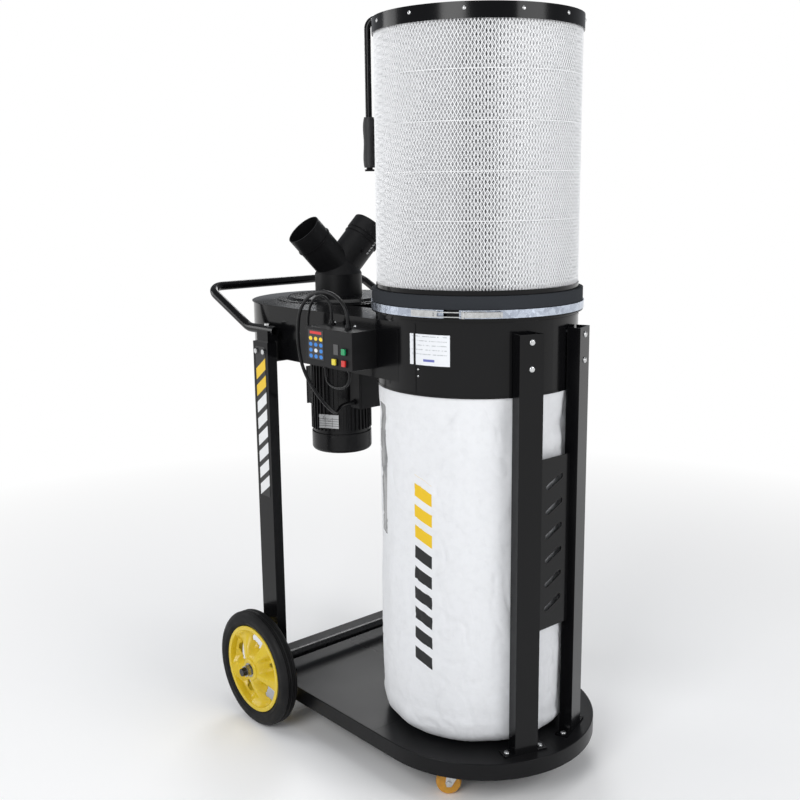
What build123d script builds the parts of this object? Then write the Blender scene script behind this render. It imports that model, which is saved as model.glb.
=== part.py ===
from build123d import *
from math import cos, pi, radians, sin, sqrt, tan
import os

os.makedirs("parts", exist_ok=True)

# Mobile single-stage dust collector: a fan and motor at the back blow into an upright drum,
# with a pleated filter cartridge above the drum and a collection bag below it.
# Millimetres. +Z is up, +X is forward, -Y is the side with the control box (the "right").
# The origin is on the floor, in the middle of the whole machine.

# ---- driving dimensions ---------------------------------------------------------------
clear = 0.3               # gap between neighbouring pieces that are not a fit
run_clear = 0.05          # radial clearance of a running fit

# drum and everything stacked on its axis
drum_r = 252.0
drum_wall = 2.0
drum_bottom = 1023.0
drum_top = 1209.0
drum_flange_r = 263.0
drum_flange_t = 2.5

gasket_bottom = 1231.0
gasket_top = 1261.0
gasket_r = 262.0
filter_r = 250.0
filter_height = 600.0
pleat_depth = 42.0
mesh_t = 1.2
mesh_gap = 0.8
rim_height = 35.0
rim_overhang = 3.0
rim_t = 2.0

# tray
plate_top = 132.0
plate_t = 3.0
skirt_depth = 43.0
tray_half_width = 303.0
nose_x = 15.0             # centre of the round nose, forward of the drum axis
seam_x = -70.0            # joint between the two tray halves, from the drum axis
tray_tail = 655.0         # drum axis to the tray's back edge
seam_gap = 0.5

# wheels and axle
axle_x = -524.0
wheel_r = 165.0
tyre_width = 52.0
rim_r = 117.0
wheel_y = 350.0
axle_r = 10.0
axle_tube_r = 14.0
hub_r = 32.0
hub_width = 62.0
bearing_r = 20.0
bearing_w = 12.0
spoke_count = 5

# casters
caster_x = 122.0
caster_y = 190.0
caster_wheel_r = 32.5
caster_wheel_w = 25.0
caster_trail = 20.0
caster_heading = 229.0    # degrees, the way each fork trails at rest
caster_plate = 62.0
caster_plate_t = 3.0
caster_bolt_pitch = 47.0

# upright frame
sheet = 3.0
rear_post_x = -520.0
rear_post_w = 68.0
rear_post_d = 30.0
rear_post_face = 305.0    # outer face, from the middle plane
rear_post_top = 1098.0
front_post_angle = 19.2
front_post_w = 63.0
front_post_d = 33.0
front_post_top = 1174.0
front_post_drop = (18.0, 80.0)     # bolts below the post's top
panel_bottom = 439.0
panel_top = 870.0
panel_x = 262.0
panel_slots = 6

# push handle
handle_r = 12.5
handle_wall = 2.0
handle_half = 280.0       # legs, from the middle plane
handle_leg_z = 1128.0
handle_leg_front = -482.0
handle_bend_x = -608.0
handle_bar_x = -815.0
handle_bar_z = 1225.0
handle_bend_r = 60.0
handle_corner_r = 48.0

# fan housing
fan_x = -560.0
housing_bottom = 1048.0
housing_top = 1192.0
housing_wall = 2.0
scroll_step = 18.0        # side of the square that the scroll's arc centres stand on
tongue_angle = -35.0
outlet_x = 200.0          # end of the housing's outlet, from the fan axis
cradle_t = 4.0
inlet_ring_r = 178.0
inlet_ring_t = 8.0
collar_r = 62.5
collar_height = 44.0

# impeller and motor
impeller_r = 150.0
impeller_height = 88.0
blade_count = 6
motor_r = 84.0
fin_height = 5.0
fin_count = 40
motor_flange_r = 100.0
motor_bottom = 745.0
fan_cover_height = 56.0
shaft_r = 12.0

# Y inlet
stub_r = 67.5
stub_height = 62.0
plastic_t = 3.2
port_r = 51.0
port_angle = 43.0         # each branch, from vertical
port_yaw = -8.0           # the inlet's turn about the fan axis
port_length = 161.0
spigot_length = 46.0      # straight end of a branch, past its stop bead
stop_bead_r = 53.5
stop_bead_length = 3.0
shoulder_height = 46.0
shoulder_taper = 28.0     # degrees
junction_z = 1272.0
cap_skirt = 36.0

# crank and cleaning paddles
crank_r = 8.0
crank_reach = 272.0
crank_heading = 215.0     # degrees about the drum axis, at rest
crank_z = 1907.0
crank_corner_r = 24.0
crank_tail = 27.0
grip_r = 15.0
grip_top = 1675.0
grip_bottom = 1553.0
paddle_shaft_r = 10.0

# control box
box_front = 329.0
box_x = (-279.0, -92.0)
box_z = (1071.5, 1166.0)
box_wall = 3.0
button_w = 14.0
button_h = 15.0
button_travel = 3.0
button_proud = 6.0

# bag
bag_r = 248.6
bag_wall = 1.6
bag_corner = 60.0
bag_hem_top = 1056.0

# leads
lead_r = 4.5
thin_lead_r = 3.5

# fasteners (M8)
bolt_r = 4.0
hole_r = 4.4
nut_af = 13.0
head_t = 5.3
dome_r = 7.5
dome_h = 4.2

# ---- places worked out from the driving dimensions -------------------------------------
reach_back = -handle_bar_x + handle_r
reach_front = nose_x + tray_half_width
drum_x = (reach_back - reach_front) / 2      # puts the origin in the middle of the length
plate_bottom = plate_top - plate_t
skirt_bottom = plate_top - skirt_depth
mesh_top = gasket_top + filter_height
rim_top = mesh_top + rim_height
pleat_outer = filter_r - mesh_t - mesh_gap
pleat_inner = pleat_outer - pleat_depth
fan_at = drum_x + fan_x
axle_at = drum_x + axle_x
post_at = drum_x + rear_post_x
caster_at = drum_x + caster_x
bar_at = drum_x + handle_bar_x
outer_y = -drum_r                            # outer wall of the outlet, in line with the drum
scroll_r3 = drum_r - scroll_step / 2
scroll_r2 = scroll_r3 - scroll_step
scroll_r1 = scroll_r2 - scroll_step
inner_y = scroll_step / 2 + scroll_r1 * sin(radians(tongue_angle))
caster_top = skirt_bottom + 2.0              # underside of the channel's web


def drum_plane(z):
    """Level plane centred on the drum axis."""
    return Plane(origin=(drum_x, 0, z))


def fan_plane(z):
    """Level plane centred on the fan axis."""
    return Plane(origin=(fan_at, 0, z))


def tube(base, outer, inner, height):
    """Straight tube standing on a plane, for the builder that is open."""
    with BuildSketch(base) as ring:
        Circle(outer)
        Circle(inner, mode=Mode.SUBTRACT)
    extrude(ring.sketch, amount=height)


def post_plane(side, z):
    """Level plane on a front post's centre line: its X points outwards from the drum."""
    turn = radians(side * front_post_angle)
    reach = drum_r + 1.0 + front_post_d
    return Plane(
        origin=(drum_x + reach * cos(turn), reach * sin(turn), z),
        x_dir=(cos(turn), sin(turn), 0),
        z_dir=(0, 0, 1),
    )


def scroll_face(inset, outlet_end, grow=0.0):
    """Face inside the fan scroll's outline, drawn smaller by an inset, for an open sketch."""
    half = scroll_step / 2
    r1 = scroll_r1 - inset + grow
    r2 = scroll_r2 - inset + grow
    r3 = scroll_r3 - inset + grow
    start = tongue_angle
    with BuildLine() as outline:
        low = -half - r3
        tongue = (-half + r1 * cos(radians(start)), half + r1 * sin(radians(start)))
        Line((outlet_end, low), (half, low))
        CenterArc((half, -half), r3, 270, -90)
        CenterArc((-half, -half), r2, 180, -90)
        CenterArc((-half, half), r1, 90, start - 90)
        Line(tongue, (outlet_end, tongue[1]))
        Line((outlet_end, tongue[1]), (outlet_end, low))
    make_face(outline.edges())


# ---- fasteners, made once and placed where they are needed ------------------------------
def hex_bolt(grip):
    """Hexagon bolt with its nut, head on the +Z side of a joint that is grip thick."""
    with BuildPart() as bolt:
        with BuildSketch():
            RegularPolygon(nut_af / 2, 6, major_radius=False)
        extrude(amount=head_t)
        with BuildSketch(Plane.XY.offset(-grip)):
            Circle(bolt_r)
        extrude(amount=grip)
        with BuildSketch(Plane.XY.offset(-grip)):
            RegularPolygon(nut_af / 2, 6, major_radius=False)
        extrude(amount=-head_t)
        with BuildSketch(Plane.XY.offset(-grip - head_t)):
            Circle(bolt_r)
        extrude(amount=-3)
    return bolt.part


def dome_bolt(grip):
    """Dome-headed bolt with its nut, head on the +Z side."""
    with BuildPart() as bolt:
        with BuildSketch():
            Circle(dome_r)
        extrude(amount=dome_h)
        fillet(bolt.edges().sort_by(Axis.Z)[-1], radius=dome_h - 0.5)
        with BuildSketch(Plane.XY.offset(-grip)):
            Circle(bolt_r)
        extrude(amount=grip)
        with BuildSketch(Plane.XY.offset(-grip)):
            RegularPolygon(nut_af / 2, 6, major_radius=False)
        extrude(amount=-head_t)
    return bolt.part


# ---- tray -------------------------------------------------------------------------------
seam_ys = (-220.0, 0.0, 220.0)
seam_bolt_z = plate_bottom - 18.0
foot_half = 46.0
rear_foot_d = 62.0
rear_foot_t = 4.0
front_foot_t = 4.0
rear_foot_bolts = [
    (post_at + dx, side * (rear_post_face - rear_foot_d + 14.0))
    for side in (-1, 1)
    for dx in (-20.0, 20.0)
]
front_foot_bolts = []
for side in (-1, 1):
    foot = post_plane(side, plate_top)
    for across in (-foot_half, foot_half):
        spot = foot.from_local_coords((-front_post_d / 2, across, 0))
        front_foot_bolts.append((spot.X, spot.Y))

with BuildPart() as tray_front:
    with BuildSketch(Plane.XY.offset(skirt_bottom)):
        with Locations((drum_x + nose_x, 0)):
            Circle(tray_half_width)
        with Locations((drum_x + nose_x, 0)):
            Rectangle(2 * tray_half_width, 2 * tray_half_width, align=(Align.MAX, Align.CENTER))
        with Locations((drum_x + seam_x, 0)):
            Rectangle(
                4 * tray_half_width, 4 * tray_half_width, align=(Align.MAX, Align.CENTER), mode=Mode.SUBTRACT
            )
    extrude(amount=skirt_depth)
    top_edges = tray_front.edges().group_by(Axis.Z)[-1]
    round_edges = [edge for edge in top_edges if edge.center().X > drum_x + seam_x + 1]
    fillet(round_edges, radius=2.2)
    with BuildSketch(Plane.XY.offset(skirt_bottom)):
        with Locations((drum_x + nose_x, 0)):
            Circle(tray_half_width - plate_t)
        with Locations((drum_x + nose_x, 0)):
            Rectangle(
                2 * tray_half_width,
                2 * (tray_half_width - plate_t),
                align=(Align.MAX, Align.CENTER),
            )
        with Locations((drum_x + seam_x + plate_t, 0)):
            Rectangle(
                4 * tray_half_width, 4 * tray_half_width, align=(Align.MAX, Align.CENTER), mode=Mode.SUBTRACT
            )
    extrude(amount=skirt_depth - plate_t, mode=Mode.SUBTRACT)
    with Locations(*[(x, y, plate_top) for x, y in front_foot_bolts]):
        Hole(hole_r, depth=plate_t + 1)
    with BuildSketch(Plane.YZ.offset(drum_x + seam_x)):
        with Locations(*[(y, seam_bolt_z) for y in seam_ys]):
            Circle(hole_r)
    extrude(amount=plate_t, mode=Mode.SUBTRACT)
tray_front.part.label = "tray_front"
export_step(tray_front.part, "parts/tray_front.step")

with BuildPart() as tray_rear:
    rear_length = tray_tail + seam_x - seam_gap
    with BuildSketch(Plane.XY.offset(skirt_bottom)):
        with Locations((drum_x - tray_tail, 0)):
            Rectangle(rear_length, 2 * tray_half_width, align=(Align.MIN, Align.CENTER))
    extrude(amount=skirt_depth)
    rear_edges = tray_rear.edges().group_by(Axis.Z)[-1].sort_by(Axis.X)[:3]
    fillet(rear_edges, radius=2.2)
    with BuildSketch(Plane.XY.offset(skirt_bottom)):
        with Locations((drum_x - tray_tail + plate_t, 0)):
            Rectangle(
                rear_length - 2 * plate_t,
                2 * (tray_half_width - plate_t),
                align=(Align.MIN, Align.CENTER),
            )
    extrude(amount=skirt_depth - plate_t, mode=Mode.SUBTRACT)
    with Locations(*[(x, y, plate_top) for x, y in rear_foot_bolts]):
        Hole(hole_r, depth=plate_t + 1)
    with BuildSketch(Plane.YZ.offset(drum_x + seam_x - seam_gap)):
        with Locations(*[(y, seam_bolt_z) for y in seam_ys]):
            Circle(hole_r)
    extrude(amount=-plate_t, mode=Mode.SUBTRACT)
tray_rear.part.label = "tray_rear"
export_step(tray_rear.part, "parts/tray_rear.step")

# ---- casters ------------------------------------------------------------------------------
channel_w = 76.0
nose_inner = tray_half_width - plate_t - 1.0
channel_side = caster_x - nose_x + channel_w / 2
channel_half = sqrt(nose_inner**2 - channel_side**2)
caster_bolt_at = [
    (caster_at + dx, side * caster_y + dy)
    for side in (-1, 1)
    for dx in (-caster_bolt_pitch / 2, caster_bolt_pitch / 2)
    for dy in (-caster_bolt_pitch / 2, caster_bolt_pitch / 2)
]
with BuildPart() as caster_channel:
    with BuildSketch(Plane.XY.offset(caster_top)):
        with Locations((caster_at, 0)):
            Rectangle(channel_w, 2 * channel_half)
    extrude(amount=plate_bottom - caster_top)
    with BuildSketch(Plane.XY.offset(caster_top + sheet)):
        with Locations((caster_at, 0)):
            Rectangle(channel_w - 2 * sheet, 2 * channel_half)
    extrude(amount=plate_bottom - caster_top, mode=Mode.SUBTRACT)
    with BuildSketch(Plane.XY.offset(caster_top)):
        with Locations(*caster_bolt_at):
            Circle(hole_r)
    extrude(amount=sheet, mode=Mode.SUBTRACT)
caster_channel.part.label = "caster_channel"
export_step(caster_channel.part, "parts/caster_channel.step")

crown_top = caster_top - caster_plate_t
crown_t = 9.0
crown_r = 24.0
kingpin_r = 7.0
with BuildPart() as caster_plates:
    with BuildSketch(Plane.XY.offset(crown_top)):
        with Locations((caster_at, -caster_y), (caster_at, caster_y)):
            RectangleRounded(caster_plate, caster_plate, 5)
        with Locations(*caster_bolt_at):
            Circle(hole_r, mode=Mode.SUBTRACT)
    extrude(amount=caster_plate_t)
    with BuildSketch(Plane.XY.offset(crown_top)):
        with Locations((caster_at, -caster_y), (caster_at, caster_y)):
            Circle(kingpin_r)
    extrude(amount=-crown_t - 3)
caster_plates.part.label = "caster_plates"
export_step(caster_plates.part, "parts/caster_plates.step")

leg_t = 2.5
leg_gap = caster_wheel_w + 3.0
pin_r = 4.0
trail_dir = (cos(radians(caster_heading)), sin(radians(caster_heading)), 0)
for side, sign in (("right", -1), ("left", 1)):
    caster_z0 = Plane(origin=(caster_at, sign * caster_y, 0), x_dir=trail_dir, z_dir=(0, 0, 1))
    side_plane = Plane(
        origin=(caster_at, sign * caster_y, 0),
        x_dir=trail_dir,
        z_dir=(sin(radians(caster_heading)), -cos(radians(caster_heading)), 0),
    )
    with BuildPart() as caster_fork:
        with BuildSketch(caster_z0.offset(crown_top - clear)):
            Circle(crown_r)
        extrude(amount=-crown_t)
        crown_low = crown_top - clear - crown_t
        for out in (-1, 1):
            with BuildSketch(side_plane.offset(out * (leg_gap / 2 + leg_t / 2))):
                with BuildLine():
                    Polyline(
                        (-crown_r + 5, crown_low + 3),
                        (crown_r - 2, crown_low + 3),
                        (caster_trail + 9, caster_wheel_r + 2),
                        (caster_trail + 6, caster_wheel_r - 9),
                        (caster_trail - 6, caster_wheel_r - 9),
                        (-crown_r + 5, crown_low + 3),
                    )
                make_face()
            extrude(amount=leg_t / 2, both=True)
        with BuildSketch(caster_z0.offset(crown_top)):
            Circle(kingpin_r + run_clear)
        extrude(amount=-crown_t - 10, mode=Mode.SUBTRACT)
        pin_plane = side_plane.offset(leg_gap / 2 + leg_t)
        with BuildSketch(pin_plane):
            with Locations((caster_trail, caster_wheel_r)):
                Circle(pin_r)
        extrude(amount=-(leg_gap + 2 * leg_t))
        with BuildSketch(pin_plane):
            with Locations((caster_trail, caster_wheel_r)):
                RegularPolygon(6.5, 6, major_radius=False)
        extrude(amount=4)
        with BuildSketch(side_plane.offset(-leg_gap / 2 - leg_t)):
            with Locations((caster_trail, caster_wheel_r)):
                Circle(7)
        extrude(amount=-3)
    caster_fork.part.label = f"caster_fork_{side}"
    export_step(caster_fork.part, f"parts/caster_fork_{side}.step")

    wheel_profile = Plane(
        origin=side_plane.from_local_coords((caster_trail, caster_wheel_r, 0)),
        x_dir=(0, 0, 1),
        z_dir=trail_dir,
    )
    spin_axis = Axis(wheel_profile.origin, side_plane.z_dir)
    with BuildPart() as caster_wheel:
        with BuildSketch(wheel_profile):
            half = caster_wheel_w / 2
            with BuildLine():
                Polyline(
                    (caster_wheel_r - 4, -half),
                    (pin_r + run_clear, -half),
                    (pin_r + run_clear, half),
                    (caster_wheel_r - 4, half),
                )
                ThreePointArc(
                    (caster_wheel_r - 4, half), (caster_wheel_r, 0), (caster_wheel_r - 4, -half)
                )
            make_face()
        revolve(axis=spin_axis)
    caster_wheel.part.label = f"caster_wheel_{side}"
    export_step(caster_wheel.part, f"parts/caster_wheel_{side}.step")

# ---- axle and rear wheels -----------------------------------------------------------------
hub_face = wheel_y + hub_width / 2
nut_t = 12.0
axle_end = hub_face + 1.0 + nut_t
with BuildPart() as axle:
    with BuildSketch(Plane(origin=(axle_at, -axle_end, wheel_r), z_dir=(0, 1, 0))):
        Circle(axle_r)
    extrude(amount=2 * axle_end)
    shoulder = wheel_y - hub_width / 2 - 1.0
    with BuildSketch(Plane(origin=(axle_at, -shoulder, wheel_r), z_dir=(0, 1, 0))):
        Circle(axle_tube_r)
    extrude(amount=2 * shoulder)
    # a nut and a domed cap on each end
    for sign in (-1, 1):
        nut_plane = Plane(origin=(axle_at, sign * (hub_face + 1.0), wheel_r), z_dir=(0, sign, 0))
        with BuildSketch(nut_plane):
            RegularPolygon(15, 6, major_radius=False)
            Circle(axle_r + run_clear, mode=Mode.SUBTRACT)
        extrude(amount=nut_t)
        with BuildSketch(nut_plane.offset(nut_t)):
            Circle(12.5)
        extrude(amount=13, taper=8)
axle.part.label = "axle"
export_step(axle.part, "parts/axle.step")

rim_half = tyre_width / 2 - 9.0
wall_in = 6.0
web_t = 6.0
spoke_half = hub_width / 2 - 7.0
bead_r = rim_r + 7.0
spoke_angle = 360.0 / spoke_count


def pocket_corners(near, far, land):
    """Corners of the tapered opening between two spokes, land degrees in from each spoke."""
    swing = radians(spoke_angle / 2 - land)
    narrow = swing * 0.55
    return [
        (near * cos(narrow), -near * sin(narrow)),
        (far * cos(swing), -far * sin(swing)),
        (far + 3, 0),
        (far * cos(swing), far * sin(swing)),
        (near * cos(narrow), near * sin(narrow)),
    ]


def sketch_corners():
    """Corners of the sketch that is open."""
    return BuildSketch._get_context().vertices()


for side, sign in (("right", -1), ("left", 1)):
    middle = Plane(origin=(axle_at, sign * wheel_y, wheel_r), z_dir=(0, sign, 0))
    profile = Plane(origin=(axle_at, sign * wheel_y, wheel_r), x_dir=(0, 0, 1), z_dir=(1, 0, 0))
    wheel_axis = Axis((axle_at, sign * wheel_y, wheel_r), (0, 1, 0))
    with BuildPart() as tyre:
        with BuildSketch(profile):
            wide = tyre_width / 2
            with BuildLine():
                Line((rim_r + clear, rim_half - 1), (rim_r + clear, -rim_half + 1))
                Line((rim_r + clear, -rim_half + 1), (bead_r + 1, -rim_half + 1))
                Spline(
                    (bead_r + 1, -rim_half + 1),
                    (bead_r + 4, -rim_half - 4.6),
                    (bead_r + 20, -wide),
                    (wheel_r - 7, -wide + 4),
                    (wheel_r, -wide + 14),
                    tangents=((0.6, -1), (0.2, 1)),
                )
                Line((wheel_r, -wide + 14), (wheel_r, wide - 14))
                Spline(
                    (wheel_r, wide - 14),
                    (wheel_r - 7, wide - 4),
                    (bead_r + 20, wide),
                    (bead_r + 4, rim_half + 4.6),
                    (bead_r + 1, rim_half - 1),
                    tangents=((-0.2, 1), (-0.6, -1)),
                )
                Line((bead_r + 1, rim_half - 1), (rim_r + clear, rim_half - 1))
            make_face()
        revolve(axis=wheel_axis)
    tyre.part.label = f"tyre_{side}"
    export_step(tyre.part, f"parts/tyre_{side}.step")

    with BuildPart() as rim:
        with BuildSketch(profile):
            with BuildLine():
                Polyline(
                    (rim_r, rim_half),
                    (rim_r, -rim_half),
                    (bead_r, -rim_half),
                    (bead_r, -rim_half - 4.0),
                    (rim_r - wall_in, -rim_half - 4.0),
                    (rim_r - wall_in, rim_half + 4.0),
                    (bead_r, rim_half + 4.0),
                    (bead_r, rim_half),
                    (rim_r, rim_half),
                )
            make_face()
            # spoke disc, thick at the hub and thin at the rim
            with BuildLine():
                Polyline(
                    (hub_r - 4, -spoke_half),
                    (hub_r - 4, spoke_half),
                    (hub_r + 6, spoke_half),
                    (rim_r - wall_in + 1, web_t + 2),
                    (rim_r - wall_in + 1, -web_t - 2),
                    (hub_r + 6, -spoke_half),
                    (hub_r - 4, -spoke_half),
                )
            make_face()
            with Locations(((hub_r + bearing_r + run_clear) / 2, 0)):
                Rectangle(hub_r - bearing_r - run_clear, hub_width)
            with Locations(((bearing_r + run_clear + axle_r + 3) / 2, 0)):
                Rectangle(bearing_r + run_clear - axle_r - 3, hub_width - 2 * bearing_w - 1)
        revolve(axis=wheel_axis)
        for spoke in range(spoke_count):
            turn = (spoke + 0.5) * spoke_angle
            # pocket between two spokes on each face, then the window through it
            for base, reach_in in (
                (middle.offset(web_t / 2), hub_width),
                (middle.offset(-web_t / 2), -hub_width),
            ):
                with BuildSketch(base):
                    with Locations(Location((0, 0, 0), (0, 0, 1), turn)):
                        Polygon(*pocket_corners(hub_r + 15, rim_r - wall_in - 6, 14), align=None)
                    fillet(sketch_corners(), radius=6)
                extrude(amount=reach_in, mode=Mode.SUBTRACT)
            with BuildSketch(middle.offset(-web_t)):
                with Locations(Location((0, 0, 0), (0, 0, 1), turn)):
                    Polygon(*pocket_corners(hub_r + 27, rim_r - wall_in - 11, 18), align=None)
                fillet(sketch_corners(), radius=5)
            extrude(amount=2 * web_t, mode=Mode.SUBTRACT)
    rim.part.label = f"wheel_rim_{side}"
    export_step(rim.part, f"parts/wheel_rim_{side}.step")

motor_bearing_low = motor_bottom + fan_cover_height + 12.0
motor_bearing_high = housing_bottom - 26.0
with BuildPart() as ball_bearings:
    for sign in (-1, 1):
        for inward in (-1, 1):
            start = wheel_y + inward * hub_width / 2
            base = Plane(origin=(axle_at, sign * start, wheel_r), z_dir=(0, -sign * inward, 0))
            tube(base, bearing_r, axle_r + run_clear, bearing_w)
    tube(fan_plane(motor_bearing_low), bearing_r, shaft_r + run_clear, bearing_w)
    tube(fan_plane(motor_bearing_high), bearing_r, shaft_r + run_clear, bearing_w)
ball_bearings.part.label = "ball_bearings"
export_step(ball_bearings.part, "parts/ball_bearings.step")

# ---- rear posts ------------------------------------------------------------------------------
cradle_bolt_z = rear_post_top - 26.0
cradle_bolt_dx = (-17.0, 17.0)
saddle_bolt_x = post_at
for side, sign in (("right", -1), ("left", 1)):
    face_y = sign * rear_post_face
    with BuildPart() as rear_post:
        with BuildSketch(Plane.XY.offset(plate_top)):
            with Locations((post_at, face_y - sign * rear_post_d / 2)):
                Rectangle(rear_post_w, rear_post_d)
            with Locations((post_at, face_y - sign * (sheet + rear_post_d / 2))):
                Rectangle(rear_post_w - 2 * sheet, rear_post_d, mode=Mode.SUBTRACT)
        extrude(amount=rear_post_top - plate_top)
        with BuildSketch(Plane.XY.offset(plate_top)):
            with Locations((post_at, face_y - sign * rear_foot_d / 2)):
                Rectangle(rear_post_w, rear_foot_d)
        extrude(amount=rear_foot_t)
        with BuildSketch(Plane.XY.offset(rear_post_top - sheet)):
            with Locations((post_at, face_y - sign * rear_post_d / 2)):
                Rectangle(rear_post_w, rear_post_d)
        extrude(amount=sheet)
        foot_holes = [p for p in rear_foot_bolts if p[1] * sign > 0]
        with Locations(*[(x, y, plate_top + rear_foot_t) for x, y in foot_holes]):
            Hole(hole_r, depth=rear_foot_t + 1)
        with Locations((saddle_bolt_x, sign * handle_half, rear_post_top)):
            Hole(hole_r, depth=sheet + 1)
        with BuildSketch(Plane(origin=(post_at, face_y, 0), x_dir=(1, 0, 0), z_dir=(0, sign, 0))):
            up = -sign
            with Locations(*[(dx, up * cradle_bolt_z) for dx in cradle_bolt_dx]):
                Circle(hole_r)
            with Locations((axle_at - post_at, up * wheel_r)):
                Circle(axle_tube_r + run_clear)
        extrude(amount=-sheet, mode=Mode.SUBTRACT)
    rear_post.part.label = f"rear_post_{side}"
    export_step(rear_post.part, f"parts/rear_post_{side}.step")

# ---- push handle ------------------------------------------------------------------------------
leg_end = (drum_x + handle_leg_front, -handle_half, handle_leg_z)
with BuildPart() as push_handle:
    with BuildLine() as handle_path:
        FilletPolyline(
            leg_end,
            (drum_x + handle_bend_x, -handle_half, handle_leg_z),
            (bar_at, -handle_half, handle_bar_z),
            (bar_at, handle_half, handle_bar_z),
            (drum_x + handle_bend_x, handle_half, handle_leg_z),
            (drum_x + handle_leg_front, handle_half, handle_leg_z),
            radius=[handle_bend_r, handle_corner_r, handle_corner_r, handle_bend_r],
        )
    with BuildSketch(Plane(origin=leg_end, z_dir=(-1, 0, 0))):
        Circle(handle_r)
        Circle(handle_r - handle_wall, mode=Mode.SUBTRACT)
    sweep()
    with BuildSketch(Plane.XY.offset(handle_leg_z - 2 * handle_r)):
        with Locations((saddle_bolt_x, -handle_half), (saddle_bolt_x, handle_half)):
            Circle(hole_r)
    extrude(amount=4 * handle_r, mode=Mode.SUBTRACT)
push_handle.part.label = "push_handle"
export_step(push_handle.part, "parts/push_handle.step")

saddle_l = 50.0
saddle_w = 34.0
with BuildPart() as handle_saddles:
    with BuildSketch(Plane.XY.offset(rear_post_top)):
        with Locations((post_at, -handle_half), (post_at, handle_half)):
            Rectangle(saddle_l, saddle_w)
    extrude(amount=handle_leg_z - rear_post_top)
    with BuildSketch(Plane.YZ.offset(post_at - saddle_l)):
        with Locations((-handle_half, handle_leg_z), (handle_half, handle_leg_z)):
            Circle(handle_r + 0.1)
    extrude(amount=2 * saddle_l, mode=Mode.SUBTRACT)
    with BuildSketch(Plane.XY.offset(rear_post_top)):
        with Locations((saddle_bolt_x, -handle_half), (saddle_bolt_x, handle_half)):
            Circle(hole_r)
    extrude(amount=2 * saddle_w, mode=Mode.SUBTRACT)
handle_saddles.part.label = "handle_saddles"
export_step(handle_saddles.part, "parts/handle_saddles.step")

# ---- cradle that carries the fan between the rear posts -------------------------------------------
cradle_r = 132.0
cradle_hole_r = motor_flange_r + 3.0
cradle_end = rear_post_face - sheet
tongue_w = rear_post_w - 2 * sheet - 2
housing_bolt_circle_r = 118.0
with BuildPart() as fan_cradle:
    with BuildSketch(Plane.XY.offset(housing_bottom - cradle_t)):
        with Locations((fan_at, 0)):
            Circle(cradle_r)
        with Locations((post_at, 0)):
            Rectangle(tongue_w, 2 * cradle_end)
        with Locations((fan_at, 0)):
            Circle(cradle_hole_r, mode=Mode.SUBTRACT)
            with PolarLocations(housing_bolt_circle_r, 4, start_angle=45):
                Circle(hole_r, mode=Mode.SUBTRACT)
    extrude(amount=cradle_t)
    ear_height = rear_post_top - 5.0 - housing_bottom
    for sign in (-1, 1):
        with BuildSketch(Plane.XY.offset(housing_bottom - cradle_t)):
            with Locations((post_at, sign * (cradle_end - cradle_t / 2))):
                Rectangle(tongue_w, cradle_t)
        extrude(amount=ear_height + cradle_t)
    with BuildSketch(Plane.XZ.offset(-cradle_end)):
        with Locations(*[(post_at + dx, cradle_bolt_z) for dx in cradle_bolt_dx]):
            Circle(hole_r)
    extrude(amount=2 * cradle_end, mode=Mode.SUBTRACT)
fan_cradle.part.label = "fan_cradle"
export_step(fan_cradle.part, "parts/fan_cradle.step")

# ---- fan housing ------------------------------------------------------------------------------------
with BuildPart() as fan_housing:
    with BuildSketch(fan_plane(housing_bottom)):
        scroll_face(0, outlet_x)
    extrude(amount=housing_top - housing_bottom - housing_wall - 0.1)
    with BuildSketch(fan_plane(housing_bottom + housing_wall)):
        scroll_face(housing_wall, outlet_x + 20)
    extrude(amount=housing_top, mode=Mode.SUBTRACT)
    with BuildSketch(fan_plane(housing_bottom)):
        Circle(30)
        with PolarLocations(housing_bolt_circle_r, 4, start_angle=45):
            Circle(hole_r)
    extrude(amount=housing_wall, mode=Mode.SUBTRACT)
fan_housing.part.label = "fan_housing"
export_step(fan_housing.part, "parts/fan_housing.step")

inlet_hole_r = 76.0
with BuildPart() as housing_lid:
    with BuildSketch(fan_plane(housing_top - housing_wall)):
        scroll_face(0, outlet_x, grow=4.0)
        Circle(inlet_hole_r, mode=Mode.SUBTRACT)
    extrude(amount=housing_wall)
housing_lid.part.label = "housing_lid"
export_step(housing_lid.part, "parts/housing_lid.step")

ring_top = housing_top + inlet_ring_t
with BuildPart() as inlet_ring:
    with BuildSketch(Plane(origin=(fan_at, 0, housing_top), x_dir=(1, 0, 0), z_dir=(0, -1, 0))):
        with BuildLine():
            Polyline(
                (collar_r - 2, -8),
                (collar_r, -8),
                (collar_r, inlet_ring_t - 2),
                (inlet_ring_r - 34, inlet_ring_t - 2),
                (inlet_ring_r - 28, 0),
                (inlet_ring_r, 0),
                (inlet_ring_r, 2),
                (inlet_ring_r - 27, 2),
                (inlet_ring_r - 33, inlet_ring_t),
                (collar_r, inlet_ring_t),
                (collar_r, collar_height),
                (collar_r - 2, collar_height),
                (collar_r - 2, -8),
            )
        make_face()
    revolve(axis=Axis((fan_at, 0, 0), (0, 0, 1)))
inlet_ring.part.label = "inlet_ring"
export_step(inlet_ring.part, "parts/inlet_ring.step")

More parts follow.
